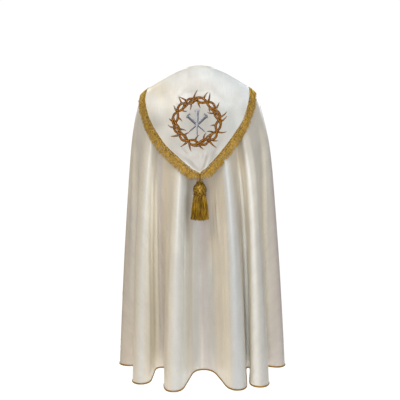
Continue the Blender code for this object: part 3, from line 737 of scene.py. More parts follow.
def mantle_rows(count):
    """Rows that lie an even distance apart down the cloth."""
    return np.interp(np.linspace(0, USUAL_DISTANCES[-1], count), USUAL_DISTANCES, TABLE_ROWS)


def new_object(name, data):
    item = bpy.data.objects.new(name, data)
    bpy.context.scene.collection.objects.link(item)
    return item


def mesh_object(name, vertices, faces, material, uv=None, dye=None):
    """A mesh object, smooth but for its sharp edges."""
    mesh = bpy.data.meshes.new(name)
    mesh.from_pydata(np.asarray(vertices).tolist(), [], faces)
    if uv is not None:
        layer = mesh.uv_layers.new(name="cut")
        corners = np.zeros(len(mesh.loops), int)
        mesh.loops.foreach_get("vertex_index", corners)
        layer.data.foreach_set("uv", np.asarray(uv, float)[corners].ravel())
        # The colour attribute: the cloth's own colour, with painted light and shade where the mantle
        # and hood give it.
        colors = np.ones((len(mesh.vertices), 4), np.float32)
        colors[:, :3] = dye
        mesh.attributes.new("dye", "FLOAT_COLOR", "POINT").data.foreach_set("color", colors.ravel())
    mesh.validate()
    mesh.shade_smooth()
    mesh.set_sharp_from_angle(angle=math.radians(SHARP_ANGLE))
    mesh.materials.append(material)
    return new_object(name, mesh)


def turn_outwards(item):
    shape = bmesh.new()
    shape.from_mesh(item.data)
    bmesh.ops.recalc_face_normals(shape, faces=shape.faces)
    shape.to_mesh(item.data)
    shape.free()
    return item


def sheet_object(name, outer, inner, cut, material, dye):
    """A sheet of cloth: a closed wall between an outer and an inner grid of points."""
    points = np.arange(outer[..., 0].size).reshape(outer.shape[:2])
    quads = np.stack([points[:-1, :-1], points[1:, :-1], points[1:, 1:], points[:-1, 1:]], axis=-1)
    quads = quads.reshape(-1, 4)
    rim = np.concatenate([points[0], points[1:, -1], points[-1, -2::-1], points[-2:0:-1, 0]])
    edge = np.stack([rim, np.roll(rim, -1)], axis=1)
    edge = np.concatenate([edge, edge[:, ::-1] + points.size], axis=1)
    faces = np.concatenate([quads, quads[:, ::-1] + points.size, edge]).tolist()
    vertices = np.concatenate([outer.reshape(-1, 3), inner.reshape(-1, 3)])
    if np.ndim(dye) > 1:
        dye = np.concatenate([dye.reshape(-1, 3)] * 2)
    cut = np.concatenate([cut.reshape(-1, 2)] * 2)
    return mesh_object(name, vertices, faces, material, cut, dye)


def bar_faces(lines, count):
    """The faces of a closed bar whose points go line by line along it."""
    points = np.arange(lines * count).reshape(lines, count)
    after = np.roll(points, -1, axis=0)
    quads = np.stack([points[:, :-1], points[:, 1:], after[:, 1:], after[:, :-1]], axis=-1)
    return quads.reshape(-1, 4).tolist() + [points[:, 0].tolist(), points[:, -1].tolist()]


def ring_faces(rings, sides, first=0):
    """The faces of a closed tube whose points go ring by ring."""
    faces = []
    for start in range(first, first + (rings - 1) * sides, sides):
        for side in range(sides):
            a, b = start + side, start + (side + 1) % sides
            faces.append((a, b, b + sides, a + sides))
    last = first + (rings - 1) * sides
    caps = [range(first, first + sides)[::-1], range(last, last + sides)]
    return faces + [tuple(cap) for cap in caps]


def frame_along(path, rise=None):
    """The directions across a path and up from it, by its rise, or else without a twist."""
    along = unit(np.gradient(path, axis=0))
    if rise is None:
        guide = (0.0, 0.0, 1.0) if abs(along[0, 2]) < 0.7 else (1.0, 0.0, 0.0)
        across = [unit(np.cross(along[0], guide))]
        for direction in along[1:]:
            across.append(unit(across[-1] - direction * (across[-1] @ direction)))
        across = np.array(across)
    else:
        across = unit(np.cross(along, rise))
    return across, np.cross(across, along)


def tubes_object(name, tubes, material):
    """One mesh of several tubes, each a path, a radius, its sides and, if it is flat, its rise
    and how flat it is."""
    vertices, faces, count = [], [], 0
    for path, radius, sides, *rise_and_flat in tubes:
        rise, flat = rise_and_flat or (None, 1.0)
        across, upright = frame_along(path, rise)
        turns = 2 * math.pi * (np.arange(sides) + 0.5) / sides
        cosines, sines = np.cos(turns)[None, :, None], np.sin(turns)[None, :, None]
        ring = across[:, None, :] * cosines + upright[:, None, :] * sines * flat
        radius = np.broadcast_to(radius, len(path))[:, None, None]
        vertices.append((path[:, None, :] + ring * radius).reshape(-1, 3))
        faces += ring_faces(len(path), sides, count)
        count += len(path) * sides
    return turn_outwards(mesh_object(name, np.concatenate(vertices), faces, material))


def fill(node, inputs=()):
    """Gives a node's inputs their values, or links them to the nodes that they come from."""
    for key, value in dict(inputs).items():
        if isinstance(value, bpy.types.Node):
            value = value.outputs[0]
        if isinstance(value, bpy.types.NodeSocket):
            node.id_data.links.new(value, node.inputs[key])
        else:
            node.inputs[key].default_value = value
    return node


def node_helpers(tree):
    """A helper that adds a node to a tree, and one that adds a Math node."""

    def add(kind, inputs=(), **settings):
        node = tree.nodes.new(kind)
        for name, value in settings.items():
            setattr(node, name, value)
        return fill(node, inputs)

    def maths(operation, *values):
        return add("ShaderNodeMath", dict(enumerate(values)), operation=operation)

    return add, maths


def threads_tree():
    """Threads that start at points: fringe, tassel strands, stitches and the turns of a braid.

    Each point has its aim, its rise (which way the thread arches), its length, its size and its
    droop, which is how far its free end sinks.
    """
    tree = bpy.data.node_groups.new("Threads", "GeometryNodeTree")
    for label, (kind, _) in THREAD_INPUTS.items():
        tree.interface.new_socket(name=label, in_out="INPUT", socket_type="NodeSocket" + kind)
    tree.interface.new_socket(name="Geometry", in_out="OUTPUT", socket_type="NodeSocketGeometry")
    add, maths = node_helpers(tree)

    def attribute(name, kind="FLOAT"):
        return add("GeometryNodeInputNamedAttribute", {"Name": name}, data_type=kind)

    def turned_to(name, rotation, **axes):
        towards = {"Rotation": rotation, "Vector": attribute(name, "FLOAT_VECTOR")}
        return add("FunctionNodeAlignRotationToVector", towards, **axes)

    inputs = add("NodeGroupInput").outputs
    line = add("GeometryNodeCurvePrimitiveLine", {"Start": (0, 0, 0), "End": (0, 0, 1)})
    line = add("GeometryNodeResampleCurve", {"Curve": line, "Count": inputs["Steps"]})
    along = add("GeometryNodeSplineParameter").outputs["Factor"]
    marks = {"Geometry": line, "Name": "along", "Value": along}
    line = add("GeometryNodeStoreNamedAttribute", marks)
    hump = maths("MULTIPLY", maths("MULTIPLY", along, 4.0), maths("SUBTRACT", 1.0, along))
    swing = maths("MULTIPLY", maths("SINE", maths("MULTIPLY", along, 7.5)), along)
    arch, wave = maths("MULTIPLY", hump, inputs["Arch"]), maths("MULTIPLY", swing, inputs["Wave"])
    bend = add("ShaderNodeCombineXYZ", {"X": arch, "Y": wave})
    line = add("GeometryNodeSetPosition", {"Geometry": line, "Offset": bend})
    round_off = maths("SUBTRACT", 1.0, maths("SQRT", maths("MAXIMUM", hump, 0.02)))
    width = maths("SUBTRACT", 1.0, maths("MULTIPLY", round_off, inputs["Taper"]))
    circle = {"Resolution": inputs["Sides"], "Radius": maths("MULTIPLY", inputs["Thickness"], 0.5)}
    circle = add("GeometryNodeCurvePrimitiveCircle", circle)
    thread = {"Curve": line, "Profile Curve": circle, "Scale": width, "Fill Caps": True}
    thread = add("GeometryNodeCurveToMesh", thread)
    aimed = turned_to("rise", turned_to("aim", (0, 0, 0), axis="Z"), axis="X", pivot_axis="Z")
    chance = {2: -math.pi, 3: math.pi, "Seed": inputs["Seed"]}
    chance = add("FunctionNodeRandomValue", chance, data_type="FLOAT").outputs["Value"]
    spin = {"Axis": (0, 0, 1), "Angle": maths("MULTIPLY", chance, inputs["Spin"])}
    aimed = {"Rotation": aimed, "Rotate By": add("FunctionNodeAxisAngleToRotation", spin)}
    aimed = add("FunctionNodeRotateRotation", aimed, rotation_space="LOCAL")
    size = attribute("size")
    scale = add("ShaderNodeCombineXYZ", {"X": size, "Y": size, "Z": attribute("length")})
    threads = {"Points": inputs["Points"], "Instance": thread, "Rotation": aimed, "Scale": scale}
    threads = add("GeometryNodeInstanceOnPoints", threads)
    threads = add("GeometryNodeRealizeInstances", {"Geometry": threads})
    along = attribute("along")
    sink = {0: attribute("droop", "FLOAT_VECTOR"), "Scale": maths("MULTIPLY", along, along)}
    sink = add("ShaderNodeVectorMath", sink, operation="SCALE")
    threads = add("GeometryNodeSetPosition", {"Geometry": threads, "Offset": sink})
    threads = add("GeometryNodeSetShadeSmooth", {"Geometry": threads})
    threads = {"Geometry": threads, "Material": inputs["Material"]}
    add("NodeGroupOutput", {"Geometry": add("GeometryNodeSetMaterial", threads)})
    return tree


def threads_object(name, points, aims, rises, lengths, material, **shape):
    """A plain mesh of threads at points, made by the threads tree."""
    tree = bpy.data.node_groups.get("Threads") or threads_tree()
    count = len(points)
    mesh = bpy.data.meshes.new(name)
    mesh.from_pydata(np.asarray(points, float).tolist(), [], [])
    random = np.random.default_rng(5)
    vectors = {"aim": aims, "rise": rises, "droop": shape.pop("droops", np.zeros(3))}
    values = {"length": lengths, "size": shape.pop("sizes", 1.0)}
    values["shade"] = shape.pop("shades", random.random(count))
    for label, data in (vectors | values).items():
        wide, kind, key = 1, "FLOAT", "value"
        if label in vectors:
            wide, kind, key = 3, "FLOAT_VECTOR", "vector"
        data = np.broadcast_to(np.asarray(data, np.float32).reshape(-1, wide), (count, wide))
        mesh.attributes.new(label, kind, "POINT").data.foreach_set(key, data.ravel())
    item = new_object(name, mesh)
    modifier = item.modifiers.new("threads", "NODES")
    modifier.node_group = tree
    for socket in tree.interface.items_tree:
        if socket.in_out == "INPUT" and socket.name != "Points":
            value = shape.get(socket.name.lower(), THREAD_INPUTS[socket.name][1])
            modifier[socket.identifier] = material if value is None else value
    graph = bpy.context.evaluated_depsgraph_get()
    made = item.evaluated_get(graph)
    made = bpy.data.meshes.new_from_object(made, preserve_all_data_layers=True, depsgraph=graph)
    item.modifiers.clear()
    item.data = made
    bpy.data.meshes.remove(mesh)
    return item


def new_material(name, **sockets):
    """A material, its shader and the helpers that add its nodes."""
    material = bpy.data.materials.new(name)
    material.use_nodes = True
    shader = material.node_tree.nodes["Principled BSDF"]
    fill(shader, {key.replace("_", " "): value for key, value in sockets.items()})
    return material, shader, *node_helpers(material.node_tree)


def noise(add, place, scale, detail):
    return add("ShaderNodeTexNoise", {"Vector": place, "Scale": scale, "Detail": detail})


def mixed(add, factor, low, high):
    """A colour between two others."""
    inputs = {0: factor, 6: (*low[:3], 1.0), 7: (*high[:3], 1.0)}
    return add("ShaderNodeMix", inputs, data_type="RGBA", blend_type="MIX").outputs[2]


def finish_shader(add, shader, color, height, strength, distance):
    """Gives a shader its colour and its bumps."""
    bump = {"Height": height, "Strength": strength, "Distance": distance}
    fill(shader, {"Base Color": color, "Normal": add("ShaderNodeBump", bump)})


def satin(name, slub, roughness):
    """Satin in the colour of its attribute, its own colour with painted light and shade, with a fine
    weave, slubs along the threads and soft streaks.
    """
    material, shader, add, maths = new_material(
        name, Roughness=roughness, Sheen_Weight=0.10, Sheen_Roughness=0.35, Specular_IOR_Level=0.9
    )
    cut = add("ShaderNodeUVMap", uv_map="cut")

    def weave(across, along, detail):
        scale = {"Vector": cut, "Scale": (across, along, 1.0)}
        return noise(add, add("ShaderNodeMapping", scale), 1.0, detail)

    def tone(value, low, high, least, most):
        span = {"Value": value, "From Min": low, "From Max": high, "To Min": least, "To Max": most}
        return add("ShaderNodeMapRange", span, clamp=True)

    slubs, picks = weave(420.0, 26.0, 3.0), weave(34.0, 900.0, 2.0)
    bars, clouds = weave(22.0, 240.0, 2.0), weave(26.0, 9.0, 3.0)
    dye = add("ShaderNodeAttribute", attribute_name="dye").outputs["Color"]
    clouds, bars = tone(clouds, 0.30, 0.70, 0.955, 1.045), tone(bars, 0.25, 0.75, 0.975, 1.025)
    mottle = maths("MULTIPLY", clouds, bars)
    shade = maths("MULTIPLY", mottle, tone(slubs, 0.25, 0.75, 0.94, 1.05))
    color = add("ShaderNodeVectorMath", {0: dye, "Scale": shade}, operation="SCALE")
    finish_shader(add, shader, color, maths("ADD", slubs, picks), slub, 0.0004)
    return material


def glossy_thread(name, dark, light, roughness=0.42, flecks=2.2, fall=1.0):
    """Glossy thread, each a little lighter or darker, with flecks that may run down."""
    material, shader, add, maths = new_material(
        name, Roughness=roughness, Metallic=0.5, Specular_IOR_Level=0.3
    )
    shade = add("ShaderNodeAttribute", attribute_name="shade").outputs["Fac"]
    place = add("ShaderNodeTexCoord").outputs["Object"]
    drawn = add("ShaderNodeMapping", {"Vector": place, "Scale": (1.0, 1.0, fall)})
    fleck = maths("ADD", shade, noise(add, place, 260.0, 2.0))
    blend = maths("MULTIPLY_ADD", noise(add, drawn, 170.0, 1.0), flecks, fleck)
    middle, reach = 1.0 + flecks / 2, 0.5 + flecks * 0.06
    span = {"Value": blend, "From Min": middle - reach, "From Max": middle + reach}
    color = mixed(add, add("ShaderNodeMapRange", span), dark, light)
    finish_shader(add, shader, color, noise(add, place, 1400.0, 1.0), 0.5, 0.0004)
    return material


def plain_material(name, color, roughness):
    """A dull finish with a fine grain."""
    material, shader, add, _ = new_material(name, Roughness=roughness, Specular_IOR_Level=0.15)
    speck = noise(add, add("ShaderNodeTexCoord").outputs["Object"], 900.0, 2.0)
    color = mixed(add, speck, [part * 0.85 for part in color[:3]], color)
    finish_shader(add, shader, color, speck, 0.3, 0.0003)
    return material


def length_of(name, about, default, least, most):
    limits = {"min": least, "max": most, "unit": "LENGTH", "subtype": "DISTANCE"}
    return FloatProperty(name=name, description=about, default=default, **limits)


def count_of(name, about, default, least, most):
    return IntProperty(name=name, description=about, default=default, min=least, max=most)


def color_of(name, about, *default):
    limits = {"size": 4, "min": 0.0, "max": 1.0, "subtype": "COLOR"}
    return FloatVectorProperty(name=name, description=about, default=(*default, 1.0), **limits)


def power_of(name, light, default):
    about = f"Power of {light}, in watts"
    return FloatProperty(name=name, description=about, default=default, min=0.0)


class MantleSettings(bpy.types.PropertyGroup):
    thickness: length_of("Thickness", "How thick the mantle's cloth is", 0.0012, 0.0005, 0.003)
    crease_depth: FloatProperty(
        name="Crease depth",
        description="How strong the smaller creases are",
        default=1.0,
        min=0.0,
        max=1.5,
    )
    columns: count_of("Columns", "Columns of the widest panel's points", 262, 40, 270)
    rows: count_of("Rows", "How many rows of points it has", 178, 30, 184)
    cloth: color_of("Cloth", "The mantle's own colour", 0.75, 0.69, 0.59)


class HoodSettings(bpy.types.PropertyGroup):
    thickness: length_of("Thickness", "How thick the hood's cloth is", 0.0016, 0.0005, 0.0022)
    columns: count_of("Columns", "How many columns of points it has", 240, 40, 280)
    rows: count_of("Rows", "How many rows of points it has", 120, 20, 160)
    cloth: color_of("Cloth", "The hood's colour", 0.84, 0.82, 0.77)


class FringeSettings(bpy.types.PropertyGroup):
    strands: count_of("Strands", "How many strands the fringe has", 2300, 100, 3000)
    length: length_of("Length", "How long a strand is", 0.023, 0.010, 0.040)
    ragged: length_of("Ragged", "How uneven the ends are", 0.0042, 0.0, 0.010)
    tuft: length_of("Tuft", "How far apart the strands' tufts are", 0.0045, 0.003, 0.030)
    braid_pitch: length_of("Braid pitch", "How far apart the braid's turns are", 0.0019, 0.0015, 0.006)
    dark: color_of("Dark", "The strands' darker gold", 0.27, 0.135, 0.008)
    light: color_of("Light", "The strands' lighter gold", 1.0, 0.67, 0.13)
    braid_dark: color_of("Dark braid", "The braid's darker gold", 0.22, 0.11, 0.007)
    braid_light: color_of("Light braid", "The braid's lighter gold", 0.90, 0.59, 0.100)


class TasselSettings(bpy.types.PropertyGroup):
    strands: count_of("Strands", "How many strands the tassel has", 420, 60, 900)
    dark: color_of("Dark", "The darker gold", 0.13, 0.057, 0.003)
    light: color_of("Light", "The lighter gold", 0.68, 0.405, 0.034)
    net: color_of("Net", "The lighter gold of the netted head", 1.0, 0.66, 0.12)
    core: color_of("Core", "The darker gold inside the net", 0.40, 0.23, 0.022)


class EmbroiderySettings(bpy.types.PropertyGroup):
    pitch: length_of("Pitch", "How far apart the stitches are", 0.00062, 0.0004, 0.002)
    thorns: count_of("Thorns", "How many thorns the crown has", 30, 8, 60)
    brown_dark: color_of("Dark brown", "The stems' darker thread", 0.075, 0.026, 0.004)
    brown_light: color_of("Light brown", "The lighter thread", 0.74, 0.35, 0.070)
    silver_dark: color_of("Dark silver", "The nails' edges", 0.070, 0.070, 0.085)
    silver_light: color_of("Silver", "The nails' thread", 0.74, 0.75, 0.80)


class StageSettings(bpy.types.PropertyGroup):
    floor_drop: length_of("Floor", "How far the floor is below the hem", 0.34, 0.05, 1.0)
    top_light: power_of("Top light", "the light above", 21.5)
    warm_light: power_of("Warm light", "the left light", 9.0)
    cool_light: power_of("Cool light", "the right light", 14.5)
    front_light: power_of("Front light", "the middle light", 34.0)
    far_light: power_of("Far lights", "each light behind", 45.0)


def settings(name):
    return getattr(bpy.context.scene, "cope_" + name)


def kept_material(name, make, *args):
    return bpy.data.materials.get(name) or make(name, *args)


def thread_material(name, dark, light, *finish):
    return kept_material(name, glossy_thread, dark[:3], light[:3], *finish)


def mantle_material():
    return kept_material("mantle_satin", satin, 0.35, 0.38)


def fringe_gold():
    own = settings("fringe")
    return thread_material("fringe_gold", own.dark, own.light, 0.45, 1.5)


def tassel_gold():
    own = settings("tassel")
    return thread_material("tassel_gold", own.dark, own.light, 0.34, 2.6, 0.25)


def finish_piece(piece, slot, *nodes):
    """The piece rides on the cope's body and stands for its solids, which it hides. The slot is not
    used.
    """
    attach(piece, "root")
    if nodes:
        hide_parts(*nodes)


def cut_map(lengths, rows):
    """Where each point of the mantle lies on the flat cut, in metres."""
    reach = np.array([row_distance(row) for row in rows])
    turn = (lengths - HEM_LENGTHS[-1] / 2) / (reach[-1] + NECK_RADIUS)
    out = reach[:, None] + NECK_RADIUS
    return np.stack([out * np.sin(turn)[None, :], -out * np.cos(turn)[None, :]], axis=-1)


class COPE_OT_mantle(bpy.types.Operator):
    """The widths of the mantle's cloth, in their folds and creases"""

    bl_idname = "cope.mantle"
    bl_label = "Mantle"

    def execute(self, context):
        own = settings("mantle")
        rows = mantle_rows(own.rows)
        widest = np.ptp(KNOTS[list(WIDTHS["mantle_back"])])
        for node, rounds in WIDTHS.items():
            first, last = KNOTS[list(rounds)]
            columns = int(own.columns * (last - first) / widest)
            first += HALF_SEAM if first > 0 else 0.0
            last -= HALF_SEAM if last < KNOTS[-1] else 0.0
            lengths = np.linspace(first, last, columns)
            outer, normals = mantle_grid(lengths, rows, own.crease_depth)
            outer = outer - normals * MANTLE_INSET
            inner = outer - normals * own.thickness
            # The cloth's own colour with painted light and shade on its folds and in its streaks.
            dye = mantle_painted_light(lengths, rows, outer, normals, own.cloth)
            cloth = (cut_map(lengths, rows), mantle_material(), dye)
            finish_piece(sheet_object(node + "_cloth", outer, inner, *cloth), "mantle_cloth", node)
        return {"FINISHED"}


def hood_surface(across, down, lift):
    """Points and normals over the hood, across from -1 to 1 and down from 0 to 1."""
    across, down = np.broadcast_arrays(np.asarray(across, float), np.asarray(down, float))
    span = HOOD_SPAN_NECK + (HOOD_SPAN_EDGE - HOOD_SPAN_NECK) * down
    angle = 90 - across * span
    reach = hood_reach(across * HOOD_SPAN_EDGE)
    row = row_at(angle, HOOD_NECK_START + (reach - HOOD_NECK_START) * down)
    rise = HOOD_LIFT_NECK + (HOOD_LIFT_EDGE - HOOD_LIFT_NECK) * down
    normal = envelope_normal(angle, row)
    return envelope(angle, row) + normal * (rise + lift)[..., None], normal


def soft_places(grid, down):
    """How far the hood's dimples and pulls lift or lower its cloth."""
    x, z = grid[..., 0], grid[..., 2]
    total = np.zeros(x.shape)
    for at_x, at_z, wide, tall, turn, height in DIMPLES:
        cosine, sine = math.cos(math.radians(turn)), math.sin(math.radians(turn))
        u = ((x - at_x) * cosine + (z - at_z) * sine) / wide
        v = ((z - at_z) * cosine - (x - at_x) * sine) / tall
        total += height * bell(u, v)
    for x0, z0, x1, z1, width, height in PULLS:
        size = math.hypot(x1 - x0, z1 - z0)
        dx, dz = (x1 - x0) / size, (z1 - z0) / size
        reach = (x - x0) * dx + (z - z0) * dz
        aside = ((x - x0) * dz - (z - z0) * dx) / width
        strength = ease(reach / (size * 0.6)) * ease((size * 1.25 - reach) / (size * 0.3))
        total += height * strength * bell(aside)
    return np.maximum(total * ease((1 - down) / 0.10) * (grid[..., 1] > 0), -HOOD_DEEPEST)


def hood_painted_light(grid, raised, down, cloth):
    """The hood's colour with painted light and shade: painted shade in its dimples, painted highlights
    on its swells and along its turned edge, warmer light towards one side and cooler towards the
    other, and the painted clouds.
    """
    x, z = grid[..., 0], grid[..., 2]
    weights = {
        "mauve": 3.0 * ease(-raised / 0.0022),
        "pearl": 2.6 * ease(raised / 0.0020) + 6.0 * ease((down - 0.955) / 0.01),
        "cream": 1.1 * ease((x - 0.03) / 0.15),
        "blue": 1.3 * ease((-0.02 - x) / 0.16),
    }
    for at_x, at_z, wide, tall, tint, weight in HOOD_PAINTED_CLOUDS:
        painted_cloud = weight * bell((x - at_x) / wide, (z - at_z) / tall) * (grid[..., 1] > 0)
        weights[tint] = weights.get(tint, 0.0) + painted_cloud
    return with_painted_light(cloth, weights, HOOD_TINTS)


class COPE_OT_hood(bpy.types.Operator):
    """The shield-shaped hood, with soft dimples and the pulls that run to its point"""

    bl_idname = "cope.hood"
    bl_label = "Hood"

    def execute(self, context):
        own = settings("hood")
        down = np.linspace(0, 1, own.rows)[:, None]
        base, normal = hood_surface(np.linspace(-1, 1, own.columns)[None, :], down, HOOD_CLOTH)
        raised = soft_places(base, down)
        outer = base + normal * raised[..., None]
        inner = outer - grid_normals(outer) * own.thickness
        cut = np.stack([outer[..., 0], outer[..., 2] * 1.15], axis=-1)
        material = kept_material("hood_satin", satin, 0.22, 0.36)
        # The hood's own colour with painted light and shade.
        dye = hood_painted_light(outer, raised, down, own.cloth)
        piece = sheet_object("hood_cloth", outer, inner, cut, material, dye)
        finish_piece(piece, "hood_cloth", "hood")
        return {"FINISHED"}


def hood_edge(samples):
    """Points spread evenly along the hood's edge, with their outward and upward directions."""
    acrosses = np.linspace(-1, 1, 721)
    line, _ = hood_surface(acrosses, 1.0, HOOD_CLOTH + SEAM_GAP)
    lengths = lengths_along(line)
    wanted = np.asarray(samples) * lengths[-1]
    ahead, behind = (points_at(wanted + step, lengths, line) for step in (0.004, -0.004))
    along = unit(ahead - behind)
    angles = 90 - np.interp(wanted, lengths, acrosses) * HOOD_SPAN_EDGE
    rises = envelope_normal(angles, row_at(angles, hood_reach(90 - angles)))
    out = unit(np.cross(rises, along))
    return points_at(wanted, lengths, line), out, rises, along, lengths[-1]


def joined(parts):
    return [np.concatenate(part) for part in zip(*parts)]


class COPE_OT_fringe(bpy.types.Operator):
    """The hood's fringe: a braided strip and the loose strands that hang from it"""

    bl_idname = "cope.fringe"
    bl_label = "Hood fringe"

    def execute(self, context):
        own = settings("fringe")
        random = np.random.default_rng(11)
        edge, out, up, _, total = hood_edge(np.linspace(0, 1, STRIP_POINTS))
        corners = np.concatenate([edge + out * a + up * b for a, b in FRINGE_STRIP])
        faces = bar_faces(len(FRINGE_STRIP), STRIP_POINTS)
        strip = mesh_object("fringe_strip", corners, faces, fringe_gold())
        finish_piece(turn_outwards(strip), "gold_fringe", "hood_fringe")

        count = int(total / own.braid_pitch)
        at, out, up, along, _ = hood_edge((np.arange(count) + 0.5) / count)
        turns = []
        for lane, lean in BRAID_LANES:
            start = at + out * (lane - 0.0004) - along * lean * 0.0018 + up * 0.0012
            turns.append((start, unit(out + along * lean), up))
        points, aims, rises = joined(turns)
        lengths = BRAID_TURN_LENGTH + random.uniform(-0.0005, 0.0005, len(points))
        gold = thread_material("gimp_gold", own.braid_dark, own.braid_light)
        braid = threads_object("fringe_braid", points, aims, rises, lengths, gold, **BRAID_TURN)
        finish_piece(braid, "gold_fringe")

        count = own.strands
        samples = (np.arange(count) + random.random(count)) / count
        at, out, up, along, _ = hood_edge(samples)
        layer = random.random(count)
        start = at + out * (FRINGE_LOW - 0.0022) + up * (0.0004 + 0.0012 * layer)[:, None]
        tufts = np.linspace(0, 1, int(total / own.tuft))
        lean = random.normal(0, 0.08, count)
        lean += np.interp(samples, tufts, random.normal(0, 0.15, len(tufts)))
        aim = unit(out + along * lean[:, None] + up * (0.02 + 0.10 * layer)[:, None])
        length = own.length + random.uniform(-1, 0.75, count) * own.ragged + 0.0022
        length += np.interp(samples, tufts, random.uniform(-1, 0.6, len(tufts))) * own.ragged * 0.45
        length -= np.interp(at[:, 0], TRIM_AT, TRIM_BY)
        behind = np.abs(at[:, 0] - tassel_place()[0]) < BEHIND_TASSEL
        length = np.where(behind, np.minimum(length, BEHIND_TASSEL_LENGTH), length)
        # Strands lower in the layer lie under the others and are painted darker as shade; the rest of
        # each strand's shade is random.
        looks = {
            "droops": STRAND_SAG * np.where(behind, 0.4, 1.0)[:, None],
            "sizes": random.uniform(0.6, 1.3, count),
            "shades": 0.15 + 0.5 * layer + random.uniform(0, 0.35, count),
        }
        looks = FRINGE_STRAND | looks
        gold = fringe_gold()
        strands = threads_object("fringe_strands", start, aim, up, length, gold, **looks)
        finish_piece(strands, "gold_fringe")
        return {"FINISHED"}


def tassel_place(above=0.0):
    """Where the tassel's cord lies on the fringe, at the hood's point or above it."""
    lift = HOOD_CLOTH + 2 * SEAM_GAP + FRINGE_THICKNESS + TASSEL_CORD_RADIUS
    point, _ = hood_surface(np.zeros(1), 1 - above / hood_reach(0), lift)
    return point[0]


def cord_path():
    """The short way of the tassel's cord, over the fringe and straight down to the cap."""
    start, point = tassel_place(TASSEL_CORD_ABOVE), tassel_place()
    end = point + np.array([0, TASSEL_CORD_LEAN, -TASSEL_CORD_BELOW])
    upright = end + np.array([0, 0, TASSEL_CORD_UPRIGHT])
    return np.array([start, point, upright, (upright + end) / 2, end])


def cord_plies(path):
    """The tassel cord's plies, twisted round a smooth curve through the points of its path."""
    steps = np.linspace(0, len(path) - 1, 120)
    curve = np.stack([smooth_through(column, steps) for column in path.T], axis=1)
    lengths = lengths_along(curve)
    middle = points_at(np.linspace(0, lengths[-1], 60), lengths, curve)
    across, upright = frame_along(middle)
    for ply in range(CORD_PLIES):
        turn = 2 * math.pi * (np.linspace(0, CORD_TURNS, len(middle)) + ply / CORD_PLIES)
        away = np.cos(turn)[:, None] * across + np.sin(turn)[:, None] * upright
        yield middle + PLY_OFFSET * away, PLY_RADIUS, 6


class COPE_OT_tassel(bpy.types.Operator):
    """The tassel: its netted head, its strands and the twisted cord that it hangs from"""

    bl_idname = "cope.tassel"
    bl_label = "Tassel"

    def execute(self, context):
        own = settings("tassel")
        random = np.random.default_rng(23)
        path = cord_path()
        cord = tubes_object("tassel_cord_twist", cord_plies(path), tassel_gold())
        finish_piece(cord, "gold_fringe", "tassel_cord")

        cap = path[-1] - np.array([0, 0, SEAM_GAP])
        last = len(TASSEL_HEAD) - 1
        positions = np.linspace(0, last, HEAD_RINGS)
        radii, drops = (smooth_through(column, positions) for column in zip(*TASSEL_HEAD))
        radii = radii * (0.955 - 0.018 * (last - positions))
        turns = 2 * math.pi * np.arange(HEAD_SIDES) / HEAD_SIDES
        rings = [cap + around(turns, radius, -drop) for radius, drop in zip(radii, drops)]
        core = thread_material("tassel_core", own.core, own.net, 0.42)
        faces = ring_faces(HEAD_RINGS, HEAD_SIDES)
        # The upper cap starts out turned inwards, so that its rim is marked as a sharp edge.
        faces[-2] = faces[-2][::-1]
        head = mesh_object("tassel_head", np.concatenate(rings), faces, core)
        finish_piece(turn_outwards(head), "gold_fringe", "tassel")

        net = []
        share = np.linspace(0.04, 0.90, NET_POINTS)
        drop, inside = (
            np.interp(share, np.linspace(0, 1, HEAD_RINGS), column) for column in (drops, radii)
        )
        for hand in (-1, 1):
            for k in range(NET_THREADS):
                radius = inside + 0.0012 + 0.0008 * np.sin(share * 44 + k * hand)
                turn = 2 * math.pi * (k / NET_THREADS + hand * NET_SLANT * share)
                net.append((cap + around(turn, radius, -drop), 0.00125, 5))
        turn = np.linspace(0, 2 * math.pi, 49)
        net += [(cap + around(turn, radius, -drop), thick, 6) for drop, radius, thick in NET_TIES]
        bright = thread_material("tassel_net_gold", own.dark, own.net)
        finish_piece(tubes_object("tassel_net", net, bright), "gold_fringe")

        count = own.strands
        spread = np.sqrt(random.uniform(0.05, 1.0, count))
        out = around(random.uniform(0, 2 * math.pi, count))
        start = cap + out * (spread * STRANDS_RADIUS)[:, None] - (0, 0, STRANDS_START)
        end = cap + out * (spread * STRANDS_SPREAD * random.uniform(0.92, 1.06, count))[:, None]
        end[:, 2] -= TASSEL_LENGTH + random.uniform(-1, 0.7, count) * 0.006
        run = end - start
        lengths = np.linalg.norm(run, axis=1)
        looks = TASSEL_STRAND | {"spin": 0.6, "seed": 9, "sizes": random.uniform(0.55, 1.25, count)}
        gold = tassel_gold()
        strands = threads_object("tassel_strands", start, unit(run), out, lengths, gold, **looks)
        finish_piece(strands, "gold_fringe")
        return {"FINISHED"}


